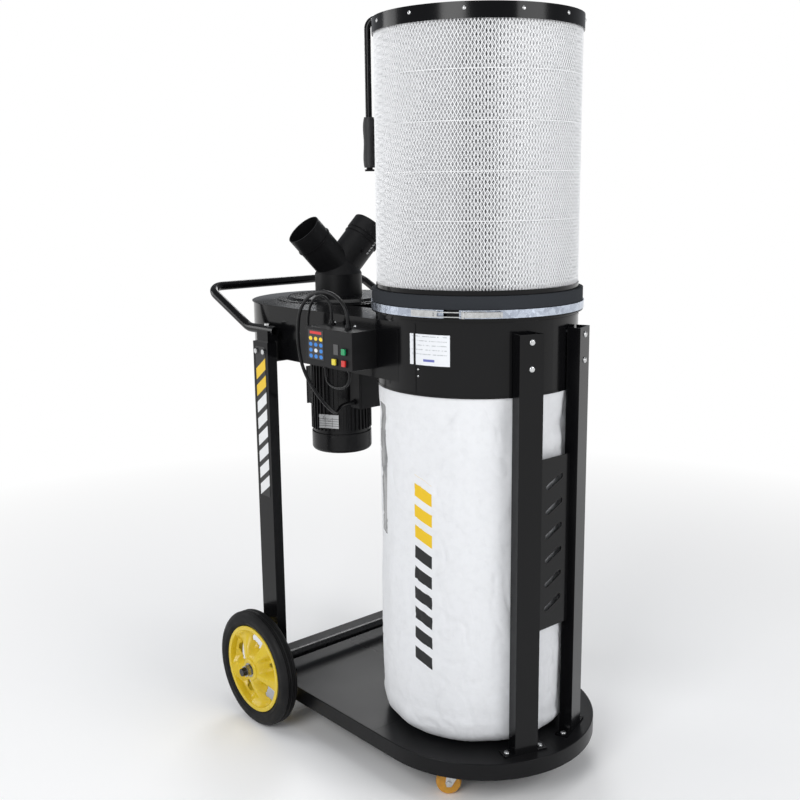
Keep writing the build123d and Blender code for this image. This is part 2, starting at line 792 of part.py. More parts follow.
# ---- duct from the fan to the drum ----------------------------------------------------------------------
duct_start = fan_at + outlet_x + clear
duct_length = drum_x - duct_start
duct_width = inner_y - outer_y
with BuildPart() as outlet_duct:
    with BuildSketch(Plane.YZ.offset(duct_start)):
        with Locations((outer_y, housing_bottom)):
            Rectangle(duct_width, housing_top - housing_bottom, align=(Align.MIN, Align.MIN))
        with Locations((outer_y + housing_wall, housing_bottom + housing_wall)):
            Rectangle(
                duct_width - 2 * housing_wall,
                housing_top - housing_bottom - 2 * housing_wall,
                align=(Align.MIN, Align.MIN),
                mode=Mode.SUBTRACT,
            )
    extrude(amount=duct_length)
    with BuildSketch(drum_plane(drum_bottom)):
        Circle(drum_r + clear)
    extrude(amount=drum_top - drum_bottom, mode=Mode.SUBTRACT)
outlet_duct.part.label = "outlet_duct"
export_step(outlet_duct.part, "parts/outlet_duct.step")

# ---- drum --------------------------------------------------------------------------------------------------
front_bolt_z = [front_post_top - drop for drop in front_post_drop]
with BuildPart() as drum:
    tube(drum_plane(drum_bottom), drum_r, drum_r - drum_wall, drum_top - drum_bottom)
    tube(
        drum_plane(drum_top - drum_flange_t), drum_flange_r, drum_r - drum_wall, drum_flange_t
    )
    tube(drum_plane(drum_bottom), drum_r + 1.2, drum_r - drum_wall, 5)
    tube(drum_plane(drum_top - 14), drum_r + 1.2, drum_r - drum_wall, 5)
    # air way from the duct
    with BuildSketch(Plane.YZ.offset(drum_x - drum_r - 10)):
        with Locations((outer_y + drum_wall + 1, housing_bottom + housing_wall)):
            Rectangle(
                duct_width - 2 * housing_wall,
                housing_top - housing_bottom - 2 * housing_wall,
                align=(Align.MIN, Align.MIN),
            )
    extrude(amount=drum_r, mode=Mode.SUBTRACT)
    for side in (-1, 1):
        for z in front_bolt_z:
            with BuildSketch(Plane(post_plane(side, z).origin, z_dir=post_plane(side, z).x_dir)):
                Circle(hole_r)
            extrude(amount=-2 * front_post_d, mode=Mode.SUBTRACT)
drum.part.label = "drum"
export_step(drum.part, "parts/drum.step")

# ---- front posts and panel ------------------------------------------------------------------------------------
for side, sign in (("right", -1), ("left", 1)):
    with BuildPart() as front_post:
        with BuildSketch(post_plane(sign, plate_top)):
            Rectangle(front_post_d, front_post_w, align=(Align.MAX, Align.CENTER))
            with Locations((-sheet, 0)):
                Rectangle(
                    front_post_d,
                    front_post_w - 2 * sheet,
                    align=(Align.MAX, Align.CENTER),
                    mode=Mode.SUBTRACT,
                )
        extrude(amount=front_post_top - plate_top)
        with BuildSketch(post_plane(sign, plate_top)):
            Rectangle(front_post_d, 2 * foot_half + 26, align=(Align.MAX, Align.CENTER))
        extrude(amount=front_foot_t)
        with Locations(
            *[(x, y, plate_top + front_foot_t) for x, y in front_foot_bolts if y * sign > 0]
        ):
            Hole(hole_r, depth=front_foot_t + 1)
        for z in front_bolt_z:
            with BuildSketch(Plane(post_plane(sign, z).origin, z_dir=post_plane(sign, z).x_dir)):
                Circle(hole_r)
            extrude(amount=-sheet, mode=Mode.SUBTRACT)
    front_post.part.label = f"front_post_{side}"
    export_step(front_post.part, f"parts/front_post_{side}.step")

inner_corner = post_plane(-1, 0).from_local_coords((-front_post_d, front_post_w / 2, 0))
outer_corner = post_plane(-1, 0).from_local_coords((0, front_post_w / 2, 0))
share = (drum_x + panel_x - inner_corner.X) / (outer_corner.X - inner_corner.X)
panel_half = -(inner_corner.Y + share * (outer_corner.Y - inner_corner.Y)) - 1.5
panel_height = panel_top - panel_bottom
slot_pitch = panel_height / (panel_slots + 1)
with BuildPart() as front_panel:
    with BuildSketch(Plane.YZ.offset(drum_x + panel_x)):
        with Locations((0, (panel_top + panel_bottom) / 2)):
            Rectangle(2 * panel_half, panel_height)
        for row in range(panel_slots):
            with Locations((0, panel_bottom + (row + 1) * slot_pitch)):
                SlotOverall(64, 13, rotation=24, mode=Mode.SUBTRACT)
    extrude(amount=2)
front_panel.part.label = "front_panel"
export_step(front_panel.part, "parts/front_panel.step")

spacer_r = 8.0
spacer_length = front_post_d - sheet - 2 * clear
post_bolt = dome_bolt(front_post_d + drum_wall + 1.5)
foot_bolt = dome_bolt(plate_t + front_foot_t)
with BuildPart() as dome_bolts:
    for side in (-1, 1):
        for z in front_bolt_z:
            head = Plane(post_plane(side, z).origin, z_dir=post_plane(side, z).x_dir)
            with Locations(head):
                add(post_bolt)
            tube(head.offset(-sheet - clear), spacer_r, bolt_r + clear, -spacer_length)
    for x, y in front_foot_bolts:
        with Locations((x, y, plate_top + front_foot_t)):
            add(foot_bolt)
dome_bolts.part.label = "dome_bolts"
export_step(dome_bolts.part, "parts/dome_bolts.step")

saddle_grip = handle_leg_z + handle_r - rear_post_top + sheet
seam_bolt = hex_bolt(2 * plate_t + seam_gap)
rear_foot_bolt = hex_bolt(plate_t + rear_foot_t)
caster_bolt = hex_bolt(sheet + caster_plate_t)
cradle_bolt = hex_bolt(sheet + cradle_t)
saddle_bolt = hex_bolt(saddle_grip)
housing_bolt = hex_bolt(housing_wall + cradle_t)
with BuildPart() as hex_bolts:
    for y in seam_ys:
        with Locations(Plane(origin=(drum_x + seam_x + plate_t, y, seam_bolt_z), z_dir=(1, 0, 0))):
            add(seam_bolt)
    for x, y in rear_foot_bolts:
        with Locations((x, y, plate_top + rear_foot_t)):
            add(rear_foot_bolt)
    for x, y in caster_bolt_at:
        with Locations((x, y, caster_top + sheet)):
            add(caster_bolt)
    for sign in (-1, 1):
        for dx in cradle_bolt_dx:
            spot = (post_at + dx, sign * rear_post_face, cradle_bolt_z)
            with Locations(Plane(origin=spot, z_dir=(0, sign, 0))):
                add(cradle_bolt)
        with Locations((saddle_bolt_x, sign * handle_half, handle_leg_z + handle_r)):
            add(saddle_bolt)
    with Locations(fan_plane(housing_bottom + housing_wall)):
        with PolarLocations(housing_bolt_circle_r, 4, start_angle=45):
            add(housing_bolt)
hex_bolts.part.label = "hex_bolts"
export_step(hex_bolts.part, "parts/hex_bolts.step")

# ---- seal, clamp band and its over-centre latch ----------------------------------------------------------------
flange_t = 2.0
with BuildPart() as filter_rim_bottom:
    tube(drum_plane(drum_top + clear), gasket_r - 1.5, filter_r - pleat_depth - 4, flange_t)
    tube(
        drum_plane(drum_top + clear),
        filter_r + 1.0,
        filter_r - 1.0,
        gasket_top + 12 - drum_top - clear,
    )
    with BuildSketch(drum_plane(drum_top + clear)):
        Rectangle(2 * (filter_r - pleat_depth - 3), 30)
        Circle(18)
        Circle(paddle_shaft_r + run_clear, mode=Mode.SUBTRACT)
    extrude(amount=3)
filter_rim_bottom.part.label = "filter_rim_bottom"
export_step(filter_rim_bottom.part, "parts/filter_rim_bottom.step")

with BuildPart() as gasket:
    tube(drum_plane(gasket_bottom), gasket_r, filter_r + 1.0 + clear, gasket_top - gasket_bottom)
gasket.part.label = "gasket"
export_step(gasket.part, "parts/gasket.step")

band_r = drum_flange_r + 1.6
band_bottom = drum_top + 2.0
band_height = gasket_bottom - band_bottom - 1.0
band_gap = (-62.0, -54.0)      # degrees about the drum axis
catch_start = -80.0            # degrees about the drum axis
catch_sweep = 15.0
band_start = band_gap[1]
band_sweep = 360.0 - (band_gap[1] - band_gap[0])


def band_sector(r_outer, r_inner, start, sweep_angle, bottom, height):
    """Curved strip about the drum axis, for the builder that is open."""
    with BuildSketch(drum_plane(bottom)) as strip:
        with BuildLine():
            a0 = radians(start)
            a1 = radians(start + sweep_angle)
            CenterArc((0, 0), r_outer, start, sweep_angle)
            Line(
                (r_outer * cos(a1), r_outer * sin(a1)), (r_inner * cos(a1), r_inner * sin(a1))
            )
            CenterArc((0, 0), r_inner, start + sweep_angle, -sweep_angle)
            Line(
                (r_inner * cos(a0), r_inner * sin(a0)), (r_outer * cos(a0), r_outer * sin(a0))
            )
        make_face()
    extrude(strip.sketch, amount=height)


with BuildPart() as clamp_band:
    band_sector(band_r, band_r - 1.2, band_start, band_sweep, band_bottom, band_height)
    band_sector(
        band_r - 0.8, gasket_r - 1.2, band_start, band_sweep, band_bottom + band_height - 1.2, 1.2
    )
clamp_band.part.label = "clamp_band"
export_step(clamp_band.part, "parts/clamp_band.step")

latch_z = band_bottom + band_height / 2
pivot_angle = -52.0
pivot_r = band_r + 6.5
pivot = (
    drum_x + pivot_r * cos(radians(pivot_angle)),
    pivot_r * sin(radians(pivot_angle)),
)
with BuildPart() as band_catch:
    # catch plate on one end of the band
    band_sector(
        band_r + 2.2, band_r + clear, catch_start, catch_sweep, band_bottom + 2, band_height - 4
    )
    band_sector(band_r + 6.0, band_r + clear, -66.4, 1.4, band_bottom + 3, band_height - 6)
    # pin block on the other end
    band_sector(band_r + 1.6, band_r + clear, pivot_angle - 0.4, 11.0, band_bottom + 2, band_height - 4)
    with BuildSketch(Plane(origin=(pivot[0], pivot[1], band_bottom + 1))):
        Circle(2.0)
    extrude(amount=band_height - 2)
    for z in (band_bottom + 1, band_bottom + band_height - 3):
        with BuildSketch(Plane(origin=(pivot[0], pivot[1], z))):
            Circle(4.4)
        extrude(amount=2)
    # draw link, hooked over the catch
    for z in (band_bottom + 3.2, band_bottom + band_height - 5.2):
        band_sector(band_r + 8.6, band_r + 6.6, -67.5, 14.2, z, 2.0)
    band_sector(band_r + 8.6, band_r + 6.6, -67.5, 0.6, band_bottom + 3.2, band_height - 6.4)
band_catch.part.label = "band_catch"
export_step(band_catch.part, "parts/band_catch.step")

with BuildPart() as latch_lever:
    lever_z0 = band_bottom + 3.4
    lever_h = band_height - 6.8
    band_sector(pivot_r + 1.2, pivot_r - 0.6, pivot_angle + 0.9, 18.0, lever_z0, lever_h)
    band_sector(pivot_r + 3.4, pivot_r - 0.6, pivot_angle + 17.9, 1.1, lever_z0, lever_h)
    with BuildSketch(Plane(origin=(pivot[0], pivot[1], lever_z0))):
        Circle(4.4)
    extrude(amount=lever_h)
    with BuildSketch(Plane(origin=(pivot[0], pivot[1], lever_z0))):
        Circle(2.0 + run_clear)
    extrude(amount=lever_h, mode=Mode.SUBTRACT)
latch_lever.part.label = "latch_lever"
export_step(latch_lever.part, "parts/latch_lever.step")

# ---- filter cartridge ---------------------------------------------------------------------------------------------
with BuildPart() as filter_rim_top:
    tube(drum_plane(mesh_top), filter_r + rim_overhang, filter_r + rim_overhang - rim_t, rim_height)
    with BuildSketch(drum_plane(mesh_top + rim_height / 2)):
        Circle(filter_r + rim_overhang - rim_t)
        Circle(paddle_shaft_r + run_clear, mode=Mode.SUBTRACT)
    extrude(amount=rim_t)
    tube(drum_plane(mesh_top + rim_height / 2 + rim_t), 30, paddle_shaft_r + run_clear, 10)
filter_rim_top.part.label = "filter_rim_top"
export_step(filter_rim_top.part, "parts/filter_rim_top.step")

mesh_bottom = gasket_top + 12 + clear
with BuildPart() as filter_mesh:
    tube(drum_plane(mesh_bottom), filter_r, filter_r - mesh_t, mesh_top + 6 - mesh_bottom)
filter_mesh.part.label = "filter_mesh"
export_step(filter_mesh.part, "parts/filter_mesh.step")

pleat_bottom = drum_top + clear + flange_t + clear
with BuildPart() as filter_pleats:
    tube(
        drum_plane(pleat_bottom),
        pleat_outer,
        pleat_inner,
        mesh_top + rim_height / 2 - clear - pleat_bottom,
    )
filter_pleats.part.label = "filter_pleats"
export_step(filter_pleats.part, "parts/filter_pleats.step")

# ---- cleaning crank and paddles ---------------------------------------------------------------------------------------
heading = radians(crank_heading)
out_dir = (cos(heading), sin(heading), 0)
tail_point = (drum_x - crank_tail * cos(heading), -crank_tail * sin(heading), crank_z)
corner_point = (drum_x + crank_reach * cos(heading), crank_reach * sin(heading), crank_z)
grip_centre = (corner_point[0], corner_point[1])
with BuildPart() as crank_arm:
    with BuildLine() as crank_path:
        FilletPolyline(
            tail_point,
            corner_point,
            (corner_point[0], corner_point[1], grip_bottom - 4),
            radius=crank_corner_r,
        )
    with BuildSketch(Plane(origin=tail_point, z_dir=out_dir)):
        Circle(crank_r)
    sweep()
    with BuildSketch(Plane(origin=(grip_centre[0], grip_centre[1], grip_bottom - 4))):
        Circle(crank_r + 4)
    extrude(amount=-5)
    with BuildSketch(drum_plane(crank_z - 12)):
        Circle(16)
    extrude(amount=22)
    with BuildSketch(drum_plane(crank_z - 13)):
        Circle(paddle_shaft_r + clear)
    extrude(amount=24, mode=Mode.SUBTRACT)
crank_arm.part.label = "crank_arm"
export_step(crank_arm.part, "parts/crank_arm.step")

with BuildPart() as crank_grip:
    with BuildSketch(
        Plane(origin=(grip_centre[0], grip_centre[1], 0), x_dir=(1, 0, 0), z_dir=(0, -1, 0))
    ):
        bore = crank_r + 0.08
        mid = (grip_top + grip_bottom) / 2
        with BuildLine():
            Polyline(
                (grip_r - 3, grip_top), (bore, grip_top), (bore, grip_bottom), (grip_r - 2, grip_bottom)
            )
            Spline(
                (grip_r - 2, grip_bottom),
                (grip_r, grip_bottom + 14),
                (grip_r - 1.2, mid),
                (grip_r, grip_top - 18),
                (grip_r - 3, grip_top),
            )
        make_face()
    revolve(axis=Axis((grip_centre[0], grip_centre[1], 0), (0, 0, 1)))
crank_grip.part.label = "crank_grip"
export_step(crank_grip.part, "parts/crank_grip.step")

paddle_reach = pleat_inner - 4.0
paddle_low = pleat_bottom + 40
paddle_high = mesh_top - 30
paddle_plane = Plane(
    origin=(drum_x, 0, 0), x_dir=out_dir, z_dir=(sin(heading), -cos(heading), 0)
)
with BuildPart() as flapper:
    with BuildSketch(drum_plane(drum_top - 6)):
        Circle(paddle_shaft_r)
    extrude(amount=crank_z + 8 - (drum_top - 6))
    with BuildSketch(drum_plane(drum_top - 9)):
        Circle(paddle_shaft_r + 5)
    extrude(amount=6)
    with BuildSketch(paddle_plane):
        for z in (paddle_low, (paddle_low + paddle_high) / 2, paddle_high):
            with Locations((0, z)):
                Rectangle(2 * (paddle_reach - 20), 16)
        for out in (-1, 1):
            with Locations((out * (paddle_reach - 16), (paddle_low + paddle_high) / 2)):
                Rectangle(30, paddle_high - paddle_low + 40)
    extrude(amount=1.5, both=True)
flapper.part.label = "flapper"
export_step(flapper.part, "parts/flapper.step")

# ---- collection bag -----------------------------------------------------------------------------------------------------
bag_floor = plate_top + clear
with BuildPart() as dust_bag:
    with BuildSketch(Plane(origin=(drum_x, 0, 0), x_dir=(1, 0, 0), z_dir=(0, -1, 0))):
        inner_corner_r = bag_corner - bag_wall
        with BuildLine():
            Line((0, bag_floor), (bag_r - bag_corner, bag_floor))
            CenterArc((bag_r - bag_corner, bag_floor + bag_corner), bag_corner, 270, 90)
            Polyline(
                (bag_r, bag_floor + bag_corner),
                (bag_r, bag_hem_top),
                (bag_r - bag_wall, bag_hem_top),
                (bag_r - bag_wall, bag_floor + bag_corner),
            )
            CenterArc((bag_r - bag_corner, bag_floor + bag_corner), inner_corner_r, 0, -90)
            Polyline(
                (bag_r - bag_corner, bag_floor + bag_wall), (0, bag_floor + bag_wall), (0, bag_floor)
            )
        make_face()
    revolve(axis=Axis((drum_x, 0, 0), (0, 0, 1)))
dust_bag.part.label = "dust_bag"
export_step(dust_bag.part, "parts/dust_bag.step")

with BuildPart() as bag_ring:
    ring_outer = bag_r - bag_wall - clear
    tube(drum_plane(drum_bottom + 6), ring_outer, ring_outer - 2.0, 24)
bag_ring.part.label = "bag_ring"
export_step(bag_ring.part, "parts/bag_ring.step")

# ---- impeller, motor and shaft ----------------------------------------------------------------------------------------------
impeller_low = housing_bottom + 14.0
with BuildPart() as impeller:
    with BuildSketch(fan_plane(impeller_low)):
        Circle(impeller_r)
    extrude(amount=3)
    with BuildSketch(fan_plane(impeller_low)):
        Circle(26)
    extrude(amount=46)
    for blade in range(blade_count):
        with BuildSketch(fan_plane(impeller_low + 3)):
            with Locations(Location((0, 0, 0), (0, 0, 1), blade * 360 / blade_count)):
                with BuildLine():
                    RadiusArc((24, 0), (impeller_r - 2, -40), -230)
                    Line((impeller_r - 2, -40), (impeller_r - 2, -44))
                    RadiusArc((impeller_r - 2, -44), (24, -4), 226)
                    Line((24, -4), (24, 0))
                make_face()
        extrude(amount=impeller_height - 3)
    with BuildSketch(fan_plane(impeller_low)):
        Circle(shaft_r + 0.02)
    extrude(amount=46, mode=Mode.SUBTRACT)
impeller.part.label = "impeller"
export_step(impeller.part, "parts/impeller.step")

shaft_low = motor_bottom + 16.0
core_low = motor_bearing_low + bearing_w + 14
core_high = motor_bearing_high - 14
with BuildPart() as motor_shaft:
    with BuildSketch(fan_plane(shaft_low)):
        Circle(shaft_r)
    extrude(amount=impeller_low + 50 - shaft_low)
    with BuildSketch(fan_plane(core_low)):
        Circle(48)
    extrude(amount=core_high - core_low)
motor_shaft.part.label = "motor_shaft"
export_step(motor_shaft.part, "parts/motor_shaft.step")

body_low = motor_bottom + fan_cover_height
boss_reach = motor_r + fin_height + 3.0
terminal_z = (888.0, 990.0)
capacitor_z = (866.0, 976.0)
fin_length = housing_bottom - 24 - body_low - 14
with BuildPart() as motor_body:
    with BuildSketch(fan_plane(body_low)):
        Circle(motor_r)
    extrude(amount=housing_bottom - body_low)
    with BuildSketch(fan_plane(housing_bottom - 12)):
        Circle(motor_flange_r)
    extrude(amount=12)
    with BuildSketch(fan_plane(body_low + 10)):
        with PolarLocations(motor_r + fin_height / 2 - 1, fin_count):
            Rectangle(fin_height + 2, 2.4)
    extrude(amount=fin_length)
    for out, low_z, high_z in ((1, *terminal_z), (-1, *capacitor_z)):
        with BuildSketch(fan_plane(low_z + 6)):
            with Locations((out * (boss_reach - 15), 0)):
                Rectangle(30, 56)
        extrude(amount=high_z - low_z - 12)
    with BuildSketch(fan_plane(core_low - 12)):
        Circle(52)
    extrude(amount=core_high - core_low + 24, mode=Mode.SUBTRACT)
    for low in (motor_bearing_low, motor_bearing_high):
        with BuildSketch(fan_plane(low - clear)):
            Circle(bearing_r + run_clear)
        extrude(amount=bearing_w + 2 * clear, mode=Mode.SUBTRACT)
    with BuildSketch(fan_plane(body_low)):
        Circle(shaft_r + 1)
    extrude(amount=housing_bottom - body_low, mode=Mode.SUBTRACT)
motor_body.part.label = "motor_body"
export_step(motor_body.part, "parts/motor_body.step")

with BuildPart() as cooling_fan:
    with BuildSketch(fan_plane(shaft_low + 4)):
        Circle(24)
        Circle(shaft_r + 0.02, mode=Mode.SUBTRACT)
    extrude(amount=26)
    with BuildSketch(fan_plane(shaft_low + 4)):
        with PolarLocations(22 + 24, 7):
            Rectangle(50, 3)
    extrude(amount=24)
cooling_fan.part.label = "cooling_fan"
export_step(cooling_fan.part, "parts/cooling_fan.step")

cover_r = motor_r + 4.0
with BuildPart() as motor_fan_cover:
    with BuildSketch(fan_plane(motor_bottom)):
        Circle(cover_r)
    extrude(amount=fan_cover_height - clear)
    fillet(motor_fan_cover.edges().group_by(Axis.Z)[0], radius=12)
    with BuildSketch(fan_plane(motor_bottom + 2)):
        Circle(cover_r - 12)
    extrude(amount=12, mode=Mode.SUBTRACT)
    with BuildSketch(fan_plane(motor_bottom + 12)):
        Circle(cover_r - 2)
    extrude(amount=fan_cover_height, mode=Mode.SUBTRACT)
    # air slots in rings round the middle
    with BuildSketch(fan_plane(motor_bottom)):
        for ring_r, count in ((24, 8), (42, 14), (60, 20)):
            with PolarLocations(ring_r, count):
                SlotOverall(13, 5)
    extrude(amount=2, mode=Mode.SUBTRACT)
motor_fan_cover.part.label = "motor_fan_cover"
export_step(motor_fan_cover.part, "parts/motor_fan_cover.step")


def motor_box(out, low_z, high_z, depth, width):
    """Small lidded box on the motor's side, for the builder that is open."""
    with BuildSketch(fan_plane(low_z)) as body:
        with Locations((out * (boss_reach + clear + depth / 2), 0)):
            RectangleRounded(depth, width, 5)
    extrude(body.sketch, amount=high_z - low_z)
    with BuildSketch(fan_plane(low_z - 1.5)) as lid:
        with Locations((out * (boss_reach + clear + depth - 5), 0)):
            RectangleRounded(6, width + 3, 2)
    extrude(lid.sketch, amount=high_z - low_z + 3)


with BuildPart() as terminal_box:
    motor_box(1, *terminal_z, 50.0, 84.0)
terminal_box.part.label = "terminal_box"
export_step(terminal_box.part, "parts/terminal_box.step")

with BuildPart() as capacitor_box:
    motor_box(-1, *capacitor_z, 40.0, 60.0)
capacitor_box.part.label = "capacitor_box"
export_step(capacitor_box.part, "parts/capacitor_box.step")

# ---- Y inlet, cap and its chain -------------------------------------------------------------------------------------------------
yaw = radians(port_yaw)
stub_bottom = ring_top + clear
shoulder_z = stub_bottom + stub_height


def port_plane(out, along):
    """Plane across a branch, its normal pointing out of the port. out is -1 right, 1 left."""
    lean = radians(port_angle)
    side_x = -sin(yaw) * out
    side_y = cos(yaw) * out
    normal = (sin(lean) * side_x, sin(lean) * side_y, cos(lean))
    start = (
        fan_at + along * normal[0],
        along * normal[1],
        junction_z + along * normal[2],
    )
    return Plane(origin=start, x_dir=(cos(yaw), sin(yaw), 0), z_dir=normal)


def inlet_shape(inset):
    """Stub, shoulder and two branches, drawn smaller by an inset, for the builder that is open."""
    reach = 1.0 if inset else 0.0
    with BuildSketch(fan_plane(stub_bottom - reach)) as stub:
        Circle(stub_r - inset)
    extrude(stub.sketch, amount=stub_height + reach)
    with BuildSketch(fan_plane(shoulder_z)) as shoulder:
        Circle(stub_r - inset)
    extrude(shoulder.sketch, amount=shoulder_height, taper=shoulder_taper)
    for out in (-1, 1):
        with BuildSketch(port_plane(out, 0)) as branch:
            Circle(port_r - inset)
        extrude(branch.sketch, amount=port_length + reach)


with BuildPart() as inlet_void:
    inlet_shape(plastic_t)
with BuildPart() as inlet_y:
    inlet_shape(0)
    for out in (-1, 1):
        with BuildSketch(port_plane(out, port_length - spigot_length - stop_bead_length)):
            Circle(stop_bead_r)
        extrude(amount=stop_bead_length)
    with BuildSketch(port_plane(1, port_length - 91)):
        with Locations((port_r + 1, 0)):
            Rectangle(12, 4)
    extrude(amount=6)
    add(inlet_void.part, mode=Mode.SUBTRACT)
inlet_y.part.label = "inlet_y"
export_step(inlet_y.part, "parts/inlet_y.step")

cap_inner = port_r + clear
cap_base = port_plane(1, port_length - cap_skirt)
with BuildPart() as port_cap:
    with BuildSketch(cap_base):
        Circle(cap_inner + 2.6)
    extrude(amount=cap_skirt + 3 + clear)
    fillet(port_cap.edges().sort_by(Axis(cap_base.origin, cap_base.z_dir))[-1], radius=2)
    with BuildSketch(cap_base):
        Circle(cap_inner)
    extrude(amount=cap_skirt + clear, mode=Mode.SUBTRACT)
    with BuildSketch(cap_base.offset(cap_skirt - 8)):
        with Locations((cap_inner + 5, 0)):
            Rectangle(8, 4)
    extrude(amount=6)
port_cap.part.label = "port_cap"
export_step(port_cap.part, "parts/port_cap.step")

link_count = 6
chain_x = cap_inner + 13.0
chain_start = port_length - 24.0
chain_end = port_length - 84.0
with BuildPart() as cap_chain:
    with BuildSketch(port_plane(1, chain_start + 6).rotated((90, 0, 0))):
        with Locations((chain_x, 0)):
            Circle(9)
            Circle(7.4, mode=Mode.SUBTRACT)
    extrude(amount=0.8, both=True)
    link_step = (chain_start - chain_end) / link_count
    for index in range(link_count):
        along = chain_start - 6 - (index + 0.5) * link_step
        link_plane = port_plane(1, along).rotated((90, 0, 0))
        with BuildSketch(link_plane):
            with Locations((chain_x, 0)):
                SlotOverall(link_step - 0.8, 5, rotation=90)
                SlotOverall(link_step - 3.2, 2.4, rotation=90, mode=Mode.SUBTRACT)
        extrude(amount=0.6, both=True)
cap_chain.part.label = "cap_chain"
export_step(cap_chain.part, "parts/cap_chain.step")

# ---- control box, buttons and leads ------------------------------------------------------------------------------------------------
box_back = drum_r + clear
box_width = box_x[1] - box_x[0]
box_height = box_z[1] - box_z[0]
box_mid_x = drum_x + (box_x[0] + box_x[1]) / 2
box_mid_z = (box_z[0] + box_z[1]) / 2
buttons = {
    "start_button": (-121.0, 1117.0),
    "stop_button": (-121.0, 1088.5),
    "mode_button": (-159.0, 1088.5),
}
front_plane = Plane(origin=(drum_x, -box_front, 0), x_dir=(1, 0, 0), z_dir=(0, -1, 0))
with BuildPart() as control_box:
    with BuildSketch(Plane(origin=(box_mid_x, -box_back, box_mid_z), x_dir=(1, 0, 0), z_dir=(0, -1, 0))):
        RectangleRounded(box_width, box_height, 3)
    extrude(amount=box_front - box_back)
    with BuildSketch(
        Plane(origin=(box_mid_x, -box_back - box_wall, box_mid_z), x_dir=(1, 0, 0), z_dir=(0, -1, 0))
    ):
        Rectangle(box_width - 2 * box_wall, box_height - 2 * box_wall)
    extrude(amount=box_front - box_back - 2 * box_wall, mode=Mode.SUBTRACT)
    with BuildSketch(front_plane):
        with Locations(*buttons.values()):
            Rectangle(button_w + 2 * clear, button_h + 2 * clear)
    extrude(amount=-box_wall, mode=Mode.SUBTRACT)
control_box.part.label = "control_box"
export_step(control_box.part, "parts/control_box.step")

for name, spot in buttons.items():
    with BuildPart() as button:
        with BuildSketch(front_plane.offset(button_proud)):
            with Locations(spot):
                RectangleRounded(button_w, button_h, 1.5)
        extrude(amount=-(button_proud + box_wall + 4))
        fillet(button.faces().sort_by(Axis.Y)[0].edges(), radius=0.8)
        with BuildSketch(front_plane.offset(-box_wall - clear)):
            with Locations(spot):
                Rectangle(button_w + 4, button_h + 4)
        extrude(amount=-2.5)
    button.part.label = name
    export_step(button.part, f"parts/{name}.step")

gland_r = 8.0
gland_height = 14.0
top_gland = Plane(origin=(drum_x - 142.0, -300.0, box_z[1]))
back_gland = Plane(origin=(drum_x - 238.0, -275.0, box_z[1]))
side_gland = Plane(origin=(drum_x + box_x[0], -278.0, 1120.0), z_dir=(-1, 0, 0))
low_gland_a = Plane(origin=(drum_x - 250.0, -290.0, box_z[0]), z_dir=(0, 0, -1))
low_gland_b = Plane(origin=(drum_x - 152.0, -290.0, box_z[0]), z_dir=(0, 0, -1))
motor_gland = Plane(origin=(fan_at + boss_reach + 24.0, -42.0, 905.0), z_dir=(0, -1, 0))
glands = (top_gland, back_gland, side_gland, low_gland_a, low_gland_b, motor_gland)
with BuildPart() as cable_glands:
    for gland in glands:
        with BuildSketch(gland):
            RegularPolygon(gland_r + 1, 6)
        extrude(amount=gland_height * 0.45)
        with BuildSketch(gland.offset(gland_height * 0.45)):
            Circle(gland_r - 1)
        extrude(amount=gland_height * 0.55, taper=12)
cable_glands.part.label = "cable_glands"
export_step(cable_glands.part, "parts/cable_glands.step")

motor_lead_route = [
    (-142, -300, 1180),
    (-142, -300, 1210),
    (-176, -301, 1244),
    (-232, -302, 1256),
    (-292, -302, 1242),
    (-338, -301, 1202),
    (-352, -299, 1152),
    (-356, -296, 1096),
    (-350, -286, 1036),
    (-340, -256, 976),
    (-350, -208, 926),
    (-384, -158, 898),
    (-426, -118, 892),
    (-444, -88, 905),
    (-444, -56, 905),
]
inner_lead_route = [
    (-238, -275, 1180),
    (-238, -275, 1208),
    (-252, -276, 1232),
    (-284, -277, 1240),
    (-314, -278, 1224),
    (-331, -279, 1192),
    (-335, -279, 1160),
    (-330, -279, 1135),
    (-314, -278, 1120),
    (-293, -278, 1120),
]
link_lead_route = [
    (-250, -290, 1057.5),
    (-250, -290, 1034),
    (-233, -292, 1017),
    (-201, -293, 1012),
    (-169, -292, 1017),
    (-152, -290, 1034),
    (-152, -290, 1057.5),
]


def lead_radii(points):
    """Corner radii: 0.45 of the shorter run over the tangent of half the turn."""
    radii = []
    for before, corner, after in zip(points, points[1:], points[2:]):
        run_in = corner - before
        run_out = after - corner
        half_turn = radians(run_in.get_angle(run_out)) / 2
        radii.append(0.45 * min(run_in.length, run_out.length) / tan(half_turn))
    return radii


leads = (
    ("motor_lead", motor_lead_route, lead_r),
    ("inner_lead", inner_lead_route, thin_lead_r),
    ("link_lead", link_lead_route, thin_lead_r),
)
for name, route, radius in leads:
    points = [Vector(drum_x + x, y, z) for x, y, z in route]
    radii = lead_radii(points)
    with BuildPart() as lead:
        with BuildLine() as path:
            FilletPolyline(*points, radius=radii)
        with BuildSketch(Plane(origin=points[0], z_dir=points[1] - points[0])):
            Circle(radius)
        sweep()
    length = path.wire().length
    print(name, "length", round(length, 1), "radii", [round(r, 1) for r in radii])
    print(name, "volume", round(lead.part.volume), "section x length", round(length * pi * radius**2))
    lead.part.label = name
    export_step(lead.part, f"parts/{name}.step")
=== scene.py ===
import math

import bpy
from bpy.props import FloatProperty, FloatVectorProperty, IntProperty, PointerProperty
from mathutils import Euler, Matrix, Vector, noise


